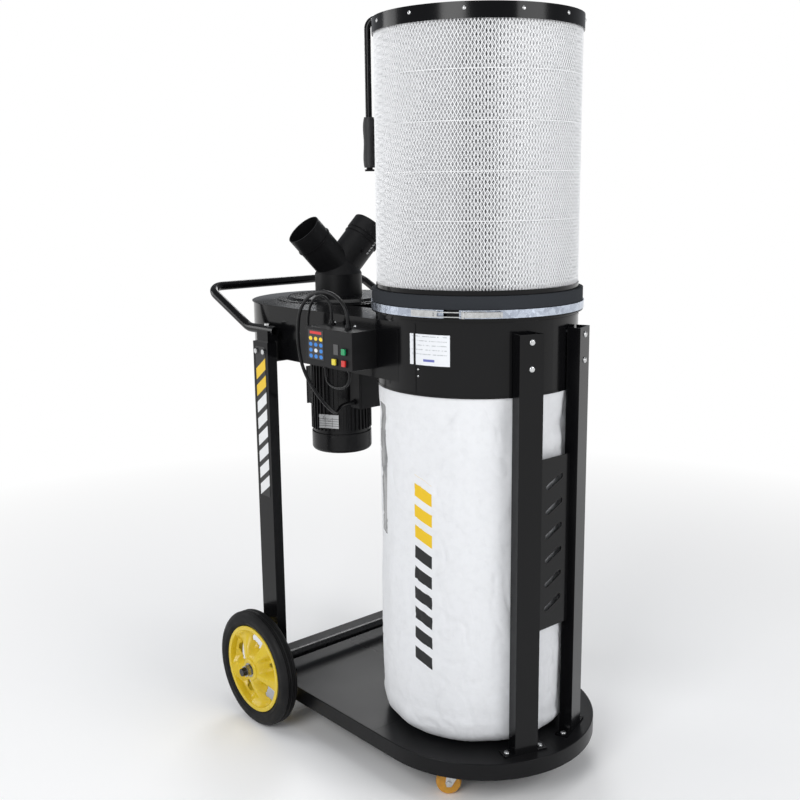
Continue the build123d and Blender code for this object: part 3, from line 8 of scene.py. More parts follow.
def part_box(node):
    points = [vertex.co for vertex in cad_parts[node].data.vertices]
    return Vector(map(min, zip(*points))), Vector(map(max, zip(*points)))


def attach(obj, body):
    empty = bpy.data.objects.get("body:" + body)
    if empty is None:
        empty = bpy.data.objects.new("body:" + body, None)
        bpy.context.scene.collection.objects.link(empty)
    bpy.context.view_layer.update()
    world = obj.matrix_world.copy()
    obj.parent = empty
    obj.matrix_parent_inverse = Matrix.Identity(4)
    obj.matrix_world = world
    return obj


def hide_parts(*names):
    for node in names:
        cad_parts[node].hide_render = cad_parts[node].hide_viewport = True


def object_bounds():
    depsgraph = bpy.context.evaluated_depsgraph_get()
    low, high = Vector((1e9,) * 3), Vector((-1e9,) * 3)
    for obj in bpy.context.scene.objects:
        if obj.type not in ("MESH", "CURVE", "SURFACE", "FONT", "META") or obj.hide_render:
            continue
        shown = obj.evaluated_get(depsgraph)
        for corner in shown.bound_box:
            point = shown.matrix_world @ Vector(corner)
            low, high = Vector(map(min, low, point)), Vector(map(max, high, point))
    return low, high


bl_info = {
    "name": "Dust Collector",
    "version": (1, 0, 0),
    "blender": (4, 5, 0),
    "location": "View3D > Sidebar > Dust Collector",
    "description": "Adds the visible pieces and finishes of a mobile dust collector to its CAD frame",
    "category": "Add Mesh",
}

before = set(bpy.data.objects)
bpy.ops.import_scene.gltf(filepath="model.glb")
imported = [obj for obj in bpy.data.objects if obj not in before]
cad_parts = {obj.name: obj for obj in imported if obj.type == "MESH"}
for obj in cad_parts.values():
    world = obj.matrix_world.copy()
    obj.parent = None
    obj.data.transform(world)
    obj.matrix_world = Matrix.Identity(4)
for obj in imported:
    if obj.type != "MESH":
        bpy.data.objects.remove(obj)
CAD_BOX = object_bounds()
MM = 0.001
FULL_TURN = 2 * math.pi


# ---- places read from the frame -----------------------------------------------------
def middle(node):
    """Middle of a CAD node's box."""
    low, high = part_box(node)
    return (low + high) / 2


def half_width(node):
    """Half of a CAD node's box across the machine."""
    low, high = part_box(node)
    return (high.y - low.y) / 2


DRUM = middle("drum")
DRUM_R = -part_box("outlet_duct")[0].y
FAN = middle("motor_shaft")
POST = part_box("rear_post_right")
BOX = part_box("control_box")
AXLE_TUBE_END = 0.300
AXLE_CAP_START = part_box("axle")[1].y - 0.0125


# ---- settings -----------------------------------------------------------------------
def colour_setting(name, description, default):
    return FloatVectorProperty(
        name=name, description=description, default=default, subtype="COLOR", min=0.0, max=1.0,
    )


def length_setting(name, description, default):
    return FloatProperty(name=name, description=description, default=default, unit="LENGTH")


class StageSettings(bpy.types.PropertyGroup):
    camera_place: FloatVectorProperty(
        name="Camera Place", description="Where the camera stands",
        default=(2.1143, -1.8857, 1.5130), subtype="TRANSLATION", unit="LENGTH",
    )
    camera_turn: FloatProperty(
        name="Camera Turn", description="Camera heading about the upright axis",
        default=math.radians(48.82), subtype="ANGLE", unit="ROTATION",
    )
    camera_tilt: FloatProperty(
        name="Camera Tilt", description="How far the camera looks down",
        default=math.radians(11.579), subtype="ANGLE", unit="ROTATION",
    )
    camera_roll: FloatProperty(
        name="Camera Roll", description="Camera roll about its own line of sight",
        default=math.radians(-0.656), subtype="ANGLE", unit="ROTATION",
    )
    lens: FloatProperty(
        name="Lens", description="Focal length on a 36 mm sensor", default=47.52, unit="CAMERA",
    )
    key_power: FloatProperty(
        name="Key Light", description="Power of the large light beside the camera",
        default=62.0, min=0.0, unit="POWER",
    )
    backdrop: colour_setting("Backdrop", "Colour of the floor and the background", (1.0, 1.0, 1.0))


class ColourSettings(bpy.types.PropertyGroup):
    enamel: colour_setting("Enamel", "Gloss paint of the sheet metal", (0.003, 0.003, 0.0035))
    plastic: colour_setting("Plastic", "Moulded black plastic", (0.0055, 0.0055, 0.006))
    rim: colour_setting("Wheel Rim", "Moulded yellow of the wheel rims", (0.78, 0.57, 0.025))
    tread: colour_setting("Caster Tread", "Amber polyurethane of the casters", (0.72, 0.34, 0.03))
    cloth: colour_setting("Bag Cloth", "White woven cloth of the collection bag", (0.79, 0.80, 0.82))
    print_yellow: colour_setting("Print Yellow", "Yellow of the printed bars", (0.80, 0.52, 0.01))
    paper: colour_setting("Filter Paper", "Pleated filter paper", (0.95, 0.95, 0.96))


class SizeSettings(bpy.types.PropertyGroup):
    pleats: IntProperty(
        name="Pleats", description="Folds round the filter paper", default=200, min=60,
    )
    diamonds: IntProperty(
        name="Diamonds", description="Openings round the expanded metal sleeve",
        default=180, min=60,
    )
    diamond_height: length_setting(
        "Diamond Height", "Height of an opening in the expanded metal", 0.016,
    )
    strand: length_setting("Strand", "Width of half a strand of the expanded metal", 0.00075)
    wrinkle: length_setting("Wrinkle Depth", "Depth of the bag's folds and dents", 0.010)
    groove: length_setting("Tyre Groove", "Depth of the grooves in the tyres' tread", 0.003)


# ---- modelling calls that many pieces share -----------------------------------------
def select_only(piece):
    bpy.ops.object.select_all(action="DESELECT")
    piece.select_set(True)
    bpy.context.view_layer.objects.active = piece


def edit(piece):
    """Opens a piece in edit mode with all of it selected."""
    select_only(piece)
    bpy.ops.object.mode_set(mode="EDIT")
    bpy.ops.mesh.select_all(action="SELECT")


def close_edit():
    bpy.ops.object.mode_set(mode="OBJECT")


def apply_modifier(piece, kind, **values):
    """Adds a modifier with these values and applies it."""
    select_only(piece)
    modifier = piece.modifiers.new(kind.title(), kind)
    for key, value in values.items():
        setattr(modifier, key, value)
    bpy.ops.object.modifier_apply(modifier=modifier.name)


def place(piece, origin, outward=(0, 0, 1), turn=0.0):
    """Moves a piece built about the origin to its place, its own Z pointing outward."""
    rotation = Vector(outward).to_track_quat("Z", "Y").to_matrix().to_4x4()
    piece.matrix_world = Matrix.Translation(origin) @ rotation @ Matrix.Rotation(turn, 4, "Z")
    select_only(piece)
    bpy.ops.object.transform_apply(location=True, rotation=True, scale=True)


def settle(piece, name, body, finish, replaced=(), smooth=35.0):
    """Names a finished piece, shades it, gives it its finish and seats it on its CAD body."""
    piece.name = name
    piece.data.name = name
    select_only(piece)
    bpy.ops.object.transform_apply(location=True, rotation=True, scale=True)
    bpy.ops.object.shade_smooth_by_angle(angle=math.radians(smooth))
    piece.data.materials.clear()
    piece.data.materials.append(finish.material)
    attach(piece, body)
    if replaced:
        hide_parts(*replaced)
    return piece


def outline_object(points):
    """Wire outline of (distance from the axis, height) pairs, closed if it ends where it starts."""
    closed = (Vector(points[0]) - Vector(points[-1])).length < 1e-9
    corners = points[:-1] if closed else points
    edges = [(i, i + 1) for i in range(len(corners) - 1)]
    if closed:
        edges.append((len(corners) - 1, 0))
    mesh = bpy.data.meshes.new("outline")
    mesh.from_pydata([(r, 0, z) for r, z in corners], edges, [])
    piece = bpy.data.objects.new("outline", mesh)
    bpy.context.scene.collection.objects.link(piece)
    return piece


def turned(points, steps):
    """Piece turned about Z from an outline."""
    piece = outline_object(points)
    edit(piece)
    bpy.ops.mesh.spin(steps=steps, angle=FULL_TURN, center=(0, 0, 0), axis=(0, 0, 1))
    bpy.ops.mesh.select_all(action="SELECT")
    bpy.ops.mesh.remove_doubles(threshold=1e-5)
    bpy.ops.mesh.normals_make_consistent(inside=False)
    close_edit()
    return piece


def join(pieces):
    """Joins pieces into the first one."""
    select_only(pieces[0])
    for piece in pieces[1:]:
        piece.select_set(True)
    bpy.ops.object.join()
    return pieces[0]


def patch(width, height, columns, rows):
    """Flat sheet about the origin with its UV map running from corner to corner."""
    bpy.ops.object.select_all(action="DESELECT")
    bpy.ops.mesh.primitive_grid_add(x_subdivisions=columns, y_subdivisions=rows, size=1)
    piece = bpy.context.active_object
    piece.scale = (width, height, 1)
    bpy.ops.object.transform_apply(location=True, rotation=True, scale=True)
    return piece


def flat_label(centre, outward, width, height, thickness=0.4 * MM):
    """Thin label on a flat face, its own X level and its back on the face."""
    piece = patch(width, height, 2, 2)
    apply_modifier(piece, "SOLIDIFY", thickness=thickness, offset=1)
    outward = Vector(outward)
    side = Vector((0, 0, 1)).cross(outward).normalized()
    up = outward.cross(side)
    turn = Matrix((side, up, outward)).transposed().to_4x4()
    piece.matrix_world = Matrix.Translation(centre) @ turn
    return piece


def wrapped_label(radius, start, end, low, high, thickness=0.4 * MM, columns=24):
    """Thin label wrapped on a cylinder about the drum's axis, between two angles in degrees."""
    piece = patch(1, 1, columns, 2)
    for vertex in piece.data.vertices:
        angle = math.radians(start + (vertex.co.x + 0.5) * (end - start))
        height = low + (vertex.co.y + 0.5) * (high - low)
        vertex.co = (DRUM.x + radius * math.cos(angle), radius * math.sin(angle), height)
    apply_modifier(piece, "SOLIDIFY", thickness=thickness, offset=1)
    return piece


def dome(radius, height, steps=16):
    """Shallow round head standing on the origin."""
    rows = 5
    curve = [
        (radius * math.cos(i / rows * math.pi / 2), height * math.sin(i / rows * math.pi / 2))
        for i in range(rows)
    ]
    return turned([(0, -MM), (radius, -MM), *curve, (0, height)], steps)


# ---- finishes -----------------------------------------------------------------------
class Finish:
    """A procedural material, with short calls for the nodes that this file uses."""

    def __init__(self, name, colour, roughness, **sockets):
        self.name = name
        self.material = bpy.data.materials.new(name)
        self.material.use_nodes = True
        self.nodes = self.material.node_tree.nodes
        self.links = self.material.node_tree.links
        self.shader = self.nodes["Principled BSDF"]
        self.shader.inputs["Base Color"].default_value = (*colour, 1)
        self.shader.inputs["Roughness"].default_value = roughness
        for socket, value in sockets.items():
            socket = socket.replace("_", " ").title().replace("Ior", "IOR")
            self.shader.inputs[socket].default_value = value
        self.colour = tuple(colour)
        self.place = self.nodes.new("ShaderNodeTexCoord")
        self.colour_out = None
        self.normal_out = None

    def put(self, socket, value):
        """Links an output to an input, or sets the input's number."""
        if hasattr(value, "node"):
            self.links.new(value, socket)
        else:
            socket.default_value = value

    def math(self, operation, first, second=0.0):
        node = self.nodes.new("ShaderNodeMath")
        node.operation = operation
        self.put(node.inputs[0], first)
        self.put(node.inputs[1], second)
        return node.outputs[0]

    def times(self, first, second):
        return self.math("MULTIPLY", first, second)

    def between(self, value, low, high):
        """1 where value lies between low and high, and 0 elsewhere."""
        above = self.math("GREATER_THAN", value, low)
        return self.times(above, self.math("LESS_THAN", value, high))

    def noise(self, scale, detail=3.0, stretch=(1, 1, 1), source="Object"):
        mapping = self.nodes.new("ShaderNodeMapping")
        mapping.inputs["Scale"].default_value = stretch
        self.links.new(self.place.outputs[source], mapping.inputs["Vector"])
        node = self.nodes.new("ShaderNodeTexNoise")
        node.inputs["Scale"].default_value = scale
        node.inputs["Detail"].default_value = detail
        self.links.new(mapping.outputs[0], node.inputs["Vector"])
        return node.outputs["Fac"]

    def remap(self, value, low, high, start=0.3, end=0.7):
        node = self.nodes.new("ShaderNodeMapRange")
        self.put(node.inputs["Value"], value)
        node.inputs["From Min"].default_value = start
        node.inputs["From Max"].default_value = end
        node.inputs["To Min"].default_value = low
        node.inputs["To Max"].default_value = high
        return node.outputs[0]

    def tint(self, mask, colour):
        """Lays a colour over the base colour where mask is 1."""
        node = self.nodes.new("ShaderNodeMix")
        node.data_type = "RGBA"
        self.put(node.inputs[0], mask)
        if self.colour_out:
            self.links.new(self.colour_out, node.inputs[6])
        else:
            node.inputs[6].default_value = (*self.colour, 1)
        node.inputs[7].default_value = (*colour, 1)
        self.colour_out = node.outputs[2]
        self.links.new(self.colour_out, self.shader.inputs["Base Color"])
        return self

    def vary_roughness(self, scale, low, high, detail=4.0):
        self.put(self.shader.inputs["Roughness"], self.remap(self.noise(scale, detail), low, high))
        return self

    def bump(self, height, strength, distance=MM):
        node = self.nodes.new("ShaderNodeBump")
        node.inputs["Strength"].default_value = strength
        node.inputs["Distance"].default_value = distance
        self.put(node.inputs["Height"], height)
        if self.normal_out:
            self.links.new(self.normal_out, node.inputs["Normal"])
        self.normal_out = node.outputs[0]
        self.links.new(self.normal_out, self.shader.inputs["Normal"])
        return self

    def uv(self):
        """The two coordinates of the piece's own UV map."""
        node = self.nodes.new("ShaderNodeSeparateXYZ")
        self.links.new(self.place.outputs["UV"], node.inputs[0])
        return node.outputs[0], node.outputs[1]


def darker(colour, share):
    return tuple(channel * share for channel in colour)


FINISHES = {}


def patchy(name, colour, roughness, patches, share, patch_colour, spread, grain, strength, depth,
           **sockets):
    """One colour with patches of a second one, an uneven roughness and a grain."""
    finish = Finish(name, colour, roughness, **sockets)
    finish.tint(finish.remap(finish.noise(*patches), 0, share), patch_colour)
    if spread:
        finish.vary_roughness(*spread)
    return finish.bump(finish.noise(*grain), strength, depth)


def patchy_finishes(colours):
    """The finishes that need no more than a colour, patches, a roughness and a grain."""
    return (
        # Sprayed gloss enamel on sheet metal, with a faint orange peel and handling marks.
        patchy(
            "gloss_enamel", colours.enamel, 0.12, (9,), 0.5, (0.0045, 0.0045, 0.005),
            (5, 0.10, 0.22, 6), (420, 2), 0.05, 0.3 * MM,
            specular_ior_level=0.22,
        ),
        # Textured powder coat of the tray, duller where it is walked and wheeled on.
        patchy(
            "tray_coat", (0.004, 0.004, 0.0045), 0.3, (7, 6), 0.6, (0.010, 0.010, 0.011),
            (4, 0.26, 0.34, 3), (900, 2), 0.25, 0.4 * MM,
            specular_ior_level=0.16,
        ),
        # Moulded black plastic with a fine spark-eroded grain.
        patchy(
            "matt_plastic", colours.plastic, 0.42, (14, 4), 0.5, (0.008, 0.008, 0.009),
            (11, 0.34, 0.5), (1300, 2), 0.18, 0.3 * MM,
            specular_ior_level=0.2,
        ),
        # Thick semi-gloss paint over a cast motor body.
        patchy(
            "motor_paint", (0.004, 0.004, 0.0045), 0.3, (20, 5), 0.6, (0.010, 0.010, 0.011),
            (16, 0.22, 0.42), (260, 5), 0.22, 0.6 * MM,
            specular_ior_level=0.24,
        ),
        # Bright zinc plate with cloudy patches.
        patchy(
            "zinc_plate", (0.66, 0.67, 0.68), 0.25, (120, 4), 0.7, (0.47, 0.47, 0.46),
            (90, 0.16, 0.38), (1500, 2), 0.08, 0.2 * MM,
            metallic=1.0,
        ),
        # Turned steel with fine rings of tool marks and a little oil.
        patchy(
            "machined_steel", (0.42, 0.42, 0.43), 0.3, (70, 5), 0.6, (0.24, 0.23, 0.22),
            (50, 0.2, 0.42), (700, 2, (1, 8, 1)), 0.12, 0.2 * MM,
            metallic=1.0,
        ),
        # Closed-cell foam strip.
        patchy(
            "foam_seal", (0.026, 0.029, 0.034), 0.95, (600, 3), 0.7, (0.030, 0.033, 0.038),
            None, (900, 3), 0.6, 0.8 * MM,
            specular_ior_level=0.2,
        ),
        # Injection-moulded yellow plastic with soft flow marks.
        patchy(
            "yellow_plastic", colours.rim, 0.3, (18, 5), 0.35, darker(colours.rim, 0.82),
            (30, 0.22, 0.4), (700, 2), 0.08, 0.3 * MM,
            subsurface_weight=0.06, subsurface_radius=(0.006, 0.004, 0.001),
        ),
        # Amber polyurethane, a little see-through at its edges and dusty where it rolls.
        patchy(
            "amber_tread", colours.tread, 0.32, (90, 6), 0.5, darker(colours.tread, 0.6),
            (60, 0.26, 0.55), (500, 3), 0.12, 0.3 * MM,
            subsurface_weight=0.35, subsurface_radius=(0.012, 0.005, 0.001),
        ),
        # Spun filter paper, with fibres and faint grey streaks running up it.
        patchy(
            "filter_paper", colours.paper, 0.8, (8, 6, (1, 1, 0.3)), 0.4, darker(colours.paper, 0.86),
            None, (1200, 4, (1, 1, 0.3)), 0.3, 0.4 * MM,
            sheen_weight=0.2,
        ),
        # Pale coated expanded metal.
        patchy(
            "sleeve_metal", (0.86, 0.87, 0.88), 0.45, (40, 4), 0.6, (0.74, 0.75, 0.765),
            (60, 0.3, 0.5), (900, 2), 0.1, 0.2 * MM,
        ),
        # Smooth black cable sheath.
        patchy(
            "lead_rubber", (0.004, 0.004, 0.0045), 0.35, (60, 4), 0.5, (0.008, 0.008, 0.009),
            (80, 0.28, 0.45), (800, 2), 0.1, 0.2 * MM,
            specular_ior_level=0.25,
        ),
        # Sand-cast aluminium.
        patchy(
            "cast_alloy", (0.50, 0.50, 0.51), 0.5, (60, 6), 0.6, (0.34, 0.34, 0.34),
            (60, 0.4, 0.65), (350, 5), 0.4, 0.6 * MM,
            metallic=0.9,
        ),
        # Dark smoked display window.
        patchy(
            "smoked_display", (0.006, 0.006, 0.008), 0.06, (60, 2), 0.5, (0.012, 0.012, 0.016),
            None, (200, 1), 0.02, 0.1 * MM,
            coat_weight=1.0,
        ),
    )


def axle_finish(colours):
    """Steel axle with a painted cross tube and a black cap on each end."""
    finish = Finish("axle_finish", (0.45, 0.45, 0.46), 0.3, metallic=1.0)
    finish.tint(finish.remap(finish.noise(70, 5), 0, 0.6), (0.26, 0.25, 0.24))
    across = finish.nodes.new("ShaderNodeSeparateXYZ")
    finish.links.new(finish.place.outputs["Object"], across.inputs[0])
    out = finish.math("ABSOLUTE", across.outputs[1])
    black = finish.math("MAXIMUM", finish.math("LESS_THAN", out, AXLE_TUBE_END),
                        finish.math("GREATER_THAN", out, AXLE_CAP_START))
    finish.tint(black, colours.enamel)
    finish.put(finish.shader.inputs["Metallic"], finish.math("SUBTRACT", 1.0, black))
    finish.vary_roughness(50, 0.2, 0.4)
    return finish.bump(finish.noise(700, 2, (8, 1, 8)), 0.12, 0.2 * MM)


def galvanised_band(colours):
    """Galvanised strip, its spangle in cells of different brightness, with a blue tint that is a
    painted reflection.
    """
    # The strong blue of both cell colours is a painted reflection, not the zinc's own colour; the
    # spangle cells are the metal's own.
    finish = Finish("galvanised_band", (0.60, 0.66, 0.76), 0.22, metallic=1.0)
    cells = finish.nodes.new("ShaderNodeTexVoronoi")
    cells.inputs["Scale"].default_value = 110
    finish.links.new(finish.place.outputs["Object"], cells.inputs["Vector"])
    spread = finish.nodes.new("ShaderNodeSeparateColor")
    finish.links.new(cells.outputs["Color"], spread.inputs[0])
    finish.tint(spread.outputs[0], (0.40, 0.44, 0.52))
    finish.put(finish.shader.inputs["Roughness"], finish.remap(spread.outputs[1], 0.14, 0.34, 0, 1))
    return finish.bump(finish.noise(60, 3), 0.25, 0.8 * MM)


def tyre_rubber(colours):
    """Dark rubber, greyed in patches by floor dust."""
    finish = Finish("tyre_rubber", (0.006, 0.006, 0.0065), 0.55, specular_ior_level=0.22)
    finish.tint(finish.remap(finish.noise(16, 7), 0, 0.5, 0.4, 0.75), (0.016, 0.016, 0.0155))
    finish.vary_roughness(20, 0.46, 0.7, 6)
    return finish.bump(finish.noise(1100, 3), 0.2, 0.4 * MM)


def bag_cloth(colours):
    """White woven cloth with printed slanted bars and a glossy grey strip."""
    finish = Finish("bag_cloth", colours.cloth, 0.75, sheen_weight=0.25, sheen_roughness=0.4)
    u, v = finish.uv()
    finish.tint(finish.remap(finish.noise(5, 6), 0, 0.35), darker(colours.cloth, 0.93))
    finish.tint(finish.remap(finish.noise(60, 5), 0, 0.25, 0.45, 0.8), darker(colours.cloth, 0.8))
    across = finish.times(finish.math("SUBTRACT", u, BAG_PRINT_U), FULL_TURN * DRUM_R)
    height = finish.times(v, BAG_HEIGHT)
    slant = finish.math("ADD", height, finish.times(across, BAR_SLOPE))
    stripe = finish.math("FRACT", finish.math("DIVIDE", slant, BAR_PITCH))
    bars = finish.math("LESS_THAN", stripe, BAR_SHARE)
    bars = finish.times(bars, finish.between(across, -BAR_HALF_WIDTH, BAR_HALF_WIDTH))
    low_bars = finish.times(bars, finish.between(slant, *BAR_HEIGHTS[:2]))
    high_bars = finish.times(bars, finish.between(slant, *BAR_HEIGHTS[1:]))
    finish.tint(low_bars, (0.012, 0.012, 0.013))
    finish.tint(high_bars, tuple(colours.print_yellow))
    # A glossy grey strip, darker and smoother than the cloth around it.
    strip = finish.between(u, *GREY_STRIP_U)
    strip = finish.times(strip, finish.between(height, *GREY_STRIP_HEIGHTS))
    finish.tint(strip, (0.20, 0.205, 0.21))
    finish.put(finish.shader.inputs["Roughness"], finish.remap(strip, 0.75, 0.25, 0, 1))
    weave_u = finish.math("SINE", finish.times(u, 2400.0))
    weave_v = finish.math("SINE", finish.times(v, 1400.0))
    finish.bump(finish.times(weave_u, weave_v), 0.08, 0.3 * MM)
    return finish.bump(finish.noise(70, 7, (1, 1, 1.6)), 0.4, 2 * MM)


def grip_rubber(colours):
    """Soft ribbed grip."""
    finish = Finish("grip_rubber", (0.010, 0.010, 0.011), 0.55)
    finish.tint(finish.remap(finish.noise(80, 4), 0, 0.5), (0.022, 0.022, 0.024))
    ribs = finish.nodes.new("ShaderNodeTexWave")
    ribs.bands_direction = "Z"
    ribs.inputs["Scale"].default_value = 90
    finish.links.new(finish.place.outputs["Object"], ribs.inputs["Vector"])
    return finish.bump(ribs.outputs["Fac"], 0.35, 0.8 * MM)


def button_plastic(name, colour):
    """Gloss coloured button, worn duller in the middle by fingers."""
    finish = Finish(name, colour, 0.22, coat_weight=0.3)
    finish.tint(finish.remap(finish.noise(160, 4), 0, 0.4), darker(colour, 0.8))
    finish.vary_roughness(220, 0.15, 0.35)
    return finish.bump(finish.noise(900, 2), 0.05, 0.2 * MM)


def data_label(colours):
    """White paper label with rows of blank grey rules."""
    finish = Finish("data_label", (0.80, 0.82, 0.85), 0.4)
    finish.tint(finish.remap(finish.noise(30, 3), 0, 0.3), (0.72, 0.74, 0.78))
    u, v = finish.uv()
    rows = finish.math("FRACT", finish.times(v, 7.0))
    words = finish.noise(38, 1, (1, 0.35, 1), source="UV")
    rule = finish.times(finish.between(rows, 0.42, 0.6), finish.math("GREATER_THAN", words, 0.47))
    rule = finish.times(rule, finish.between(u, 0.06, 0.93))
    rule = finish.times(rule, finish.between(v, 0.34, 0.95))
    finish.tint(finish.times(rule, 0.6), (0.16, 0.18, 0.2))
    oval = finish.times(finish.between(u, 0.36, 0.64), finish.between(v, 0.12, 0.2))
    finish.tint(oval, (0.12, 0.14, 0.42))
    return finish.bump(finish.noise(900, 3), 0.08, 0.2 * MM)


def panel_label(colours):
    """Black control label with a block of small blank signs in red, yellow and blue."""
    finish = Finish("panel_label", (0.012, 0.012, 0.013), 0.32)
    finish.tint(finish.remap(finish.noise(90, 4), 0, 0.5), (0.02, 0.02, 0.022))
    u, v = finish.uv()
    column = finish.math("SUBTRACT", finish.math("FRACT", finish.times(u, 3.0)), 0.5)
    row = finish.math("SUBTRACT", finish.math("FRACT", finish.times(v, 5.0)), 0.5)
    reach = finish.math("ADD", finish.math("POWER", finish.math("ABSOLUTE", column), 2.0),
                        finish.math("POWER", finish.math("ABSOLUTE", row), 2.0))
    disc = finish.math("LESS_THAN", reach, 0.115)
    lower = finish.times(disc, finish.between(v, 0.0, 0.6))
    upper = finish.times(disc, finish.between(v, 0.6, 0.8))
    heading = finish.times(finish.between(v, 0.86, 0.95), finish.between(u, 0.12, 0.88))
    finish.tint(lower, (0.02, 0.20, 0.62))
    finish.tint(upper, (0.85, 0.60, 0.02))
    finish.tint(heading, (0.65, 0.02, 0.02))
    middle_row = finish.times(disc, finish.between(v, 0.2, 0.4))
    middle_row = finish.times(middle_row, finish.between(u, 0.333, 0.667))
    finish.tint(middle_row, (0.75, 0.76, 0.78))
    return finish.bump(finish.noise(900, 2), 0.05, 0.2 * MM)


def stripe_decal(colours):
    """Slanted bars up a post, two yellow ones and the rest white, on black."""
    finish = Finish("stripe_decal", (0.78, 0.79, 0.80), 0.3)
    finish.tint(finish.remap(finish.noise(60, 4), 0, 0.3), (0.68, 0.69, 0.70))
    u, v = finish.uv()
    slant = finish.math("SUBTRACT", finish.times(v, 9.0), finish.times(u, 0.7))
    gap = finish.math("GREATER_THAN", finish.math("FRACT", slant), 0.66)
    yellow = finish.math("GREATER_THAN", slant, 6.0)
    finish.tint(yellow, tuple(colours.print_yellow))
    finish.tint(gap, tuple(colours.enamel))
    for low, high in ((-1.0, 0.0), (8.0, 12.0)):
        finish.tint(finish.between(slant, low, high), tuple(colours.enamel))
    return finish.bump(finish.noise(900, 2), 0.05, 0.2 * MM)


def rating_plate(colours):
    """Etched aluminium plate ruled into blank fields."""
    finish = Finish("rating_plate", (0.68, 0.69, 0.70), 0.32, metallic=0.85)
    finish.tint(finish.remap(finish.noise(90, 3), 0, 0.4), (0.56, 0.57, 0.58))
    u, v = finish.uv()
    rows = finish.math("LESS_THAN", finish.math("FRACT", finish.times(v, 6.0)), 0.16)
    columns = finish.math("LESS_THAN", finish.math("FRACT", finish.times(u, 3.0)), 0.05)
    ruled = finish.times(finish.math("MAXIMUM", rows, columns), finish.between(v, 0.08, 0.8))
    finish.tint(ruled, (0.03, 0.03, 0.035))
    finish.vary_roughness(120, 0.25, 0.42)
    return finish.bump(ruled, -0.2, 0.1 * MM)


def make_finishes(colours):
    for finish in patchy_finishes(colours):
        FINISHES[finish.name] = finish
    makers = (
        axle_finish, galvanised_band, tyre_rubber, bag_cloth, grip_rubber, data_label, panel_label,
        stripe_decal, rating_plate,
    )
    for make in makers:
        FINISHES[make.__name__] = make(colours)
    for name, colour in BUTTON_COLOURS.items():
        FINISHES[name] = button_plastic(name + "_plastic", colour)


BUTTON_COLOURS = {
    "start_button": (0.0, 0.30, 0.10),
    "stop_button": (0.62, 0.02, 0.015),
    "mode_button": (0.80, 0.66, 0.04),
}
BAG_LOW, BAG_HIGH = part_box("dust_bag")
BAG_HEIGHT = BAG_HIGH.z - BAG_LOW.z
BAG_R = half_width("dust_bag")
BAG_PRINT_U = (180.0 - 77.0) / 360.0      # the UV map starts on the side away from the duct
# Angles and heights of the glossy grey strip on the bag.
GREY_STRIP_U = ((180.0 - 124.0) / 360.0, (180.0 - 112.0) / 360.0)
GREY_STRIP_HEIGHTS = (0.508, 0.845)
BAR_PITCH = 0.0525
BAR_SHARE = 0.60
BAR_SLOPE = 0.42
BAR_HALF_WIDTH = 0.026
BAR_HEIGHTS = (0.21, 0.525, 0.683)        # foot of the black bars, of the yellow ones, and the top


# ---- stage --------------------------------------------------------------------------
# Each light's place, its width, and its share of the key light's power.
LIGHTS = {
    "key_light": ((1.4, -3.2, 2.6), 1.6, 1.0),
    "side_light": ((3.4, 0.6, 2.2), 1.8, 0.7),
    "back_light": ((-2.6, 2.4, 2.8), 1.6, 0.6),
    "left_light": ((-2.8, -1.8, 1.8), 1.4, 0.35),
    "top_light": ((0.1, 0.0, 4.2), 2.2, 0.5),
}
FLOOR_RADIUS = 40.0
FLOOR_FADE = (0.9, 3.2)      # distance from the machine where the floor turns into background
FILL_COLOUR = (0.92, 0.95, 1.0)
FILL_STRENGTH = 0.30


def soft_box(name, place_at, size, power):
    """Square area light aimed at the middle of the machine."""
    data = bpy.data.lights.new(name, "AREA")
    data.energy = power
    data.size = size
    light = bpy.data.objects.new(name, data)
    light.location = place_at
    target = Vector((0, 0, (CAD_BOX[0].z + CAD_BOX[1].z) / 2))
    light.rotation_euler = (target - Vector(place_at)).to_track_quat("-Z", "Y").to_euler()
    bpy.context.scene.collection.objects.link(light)


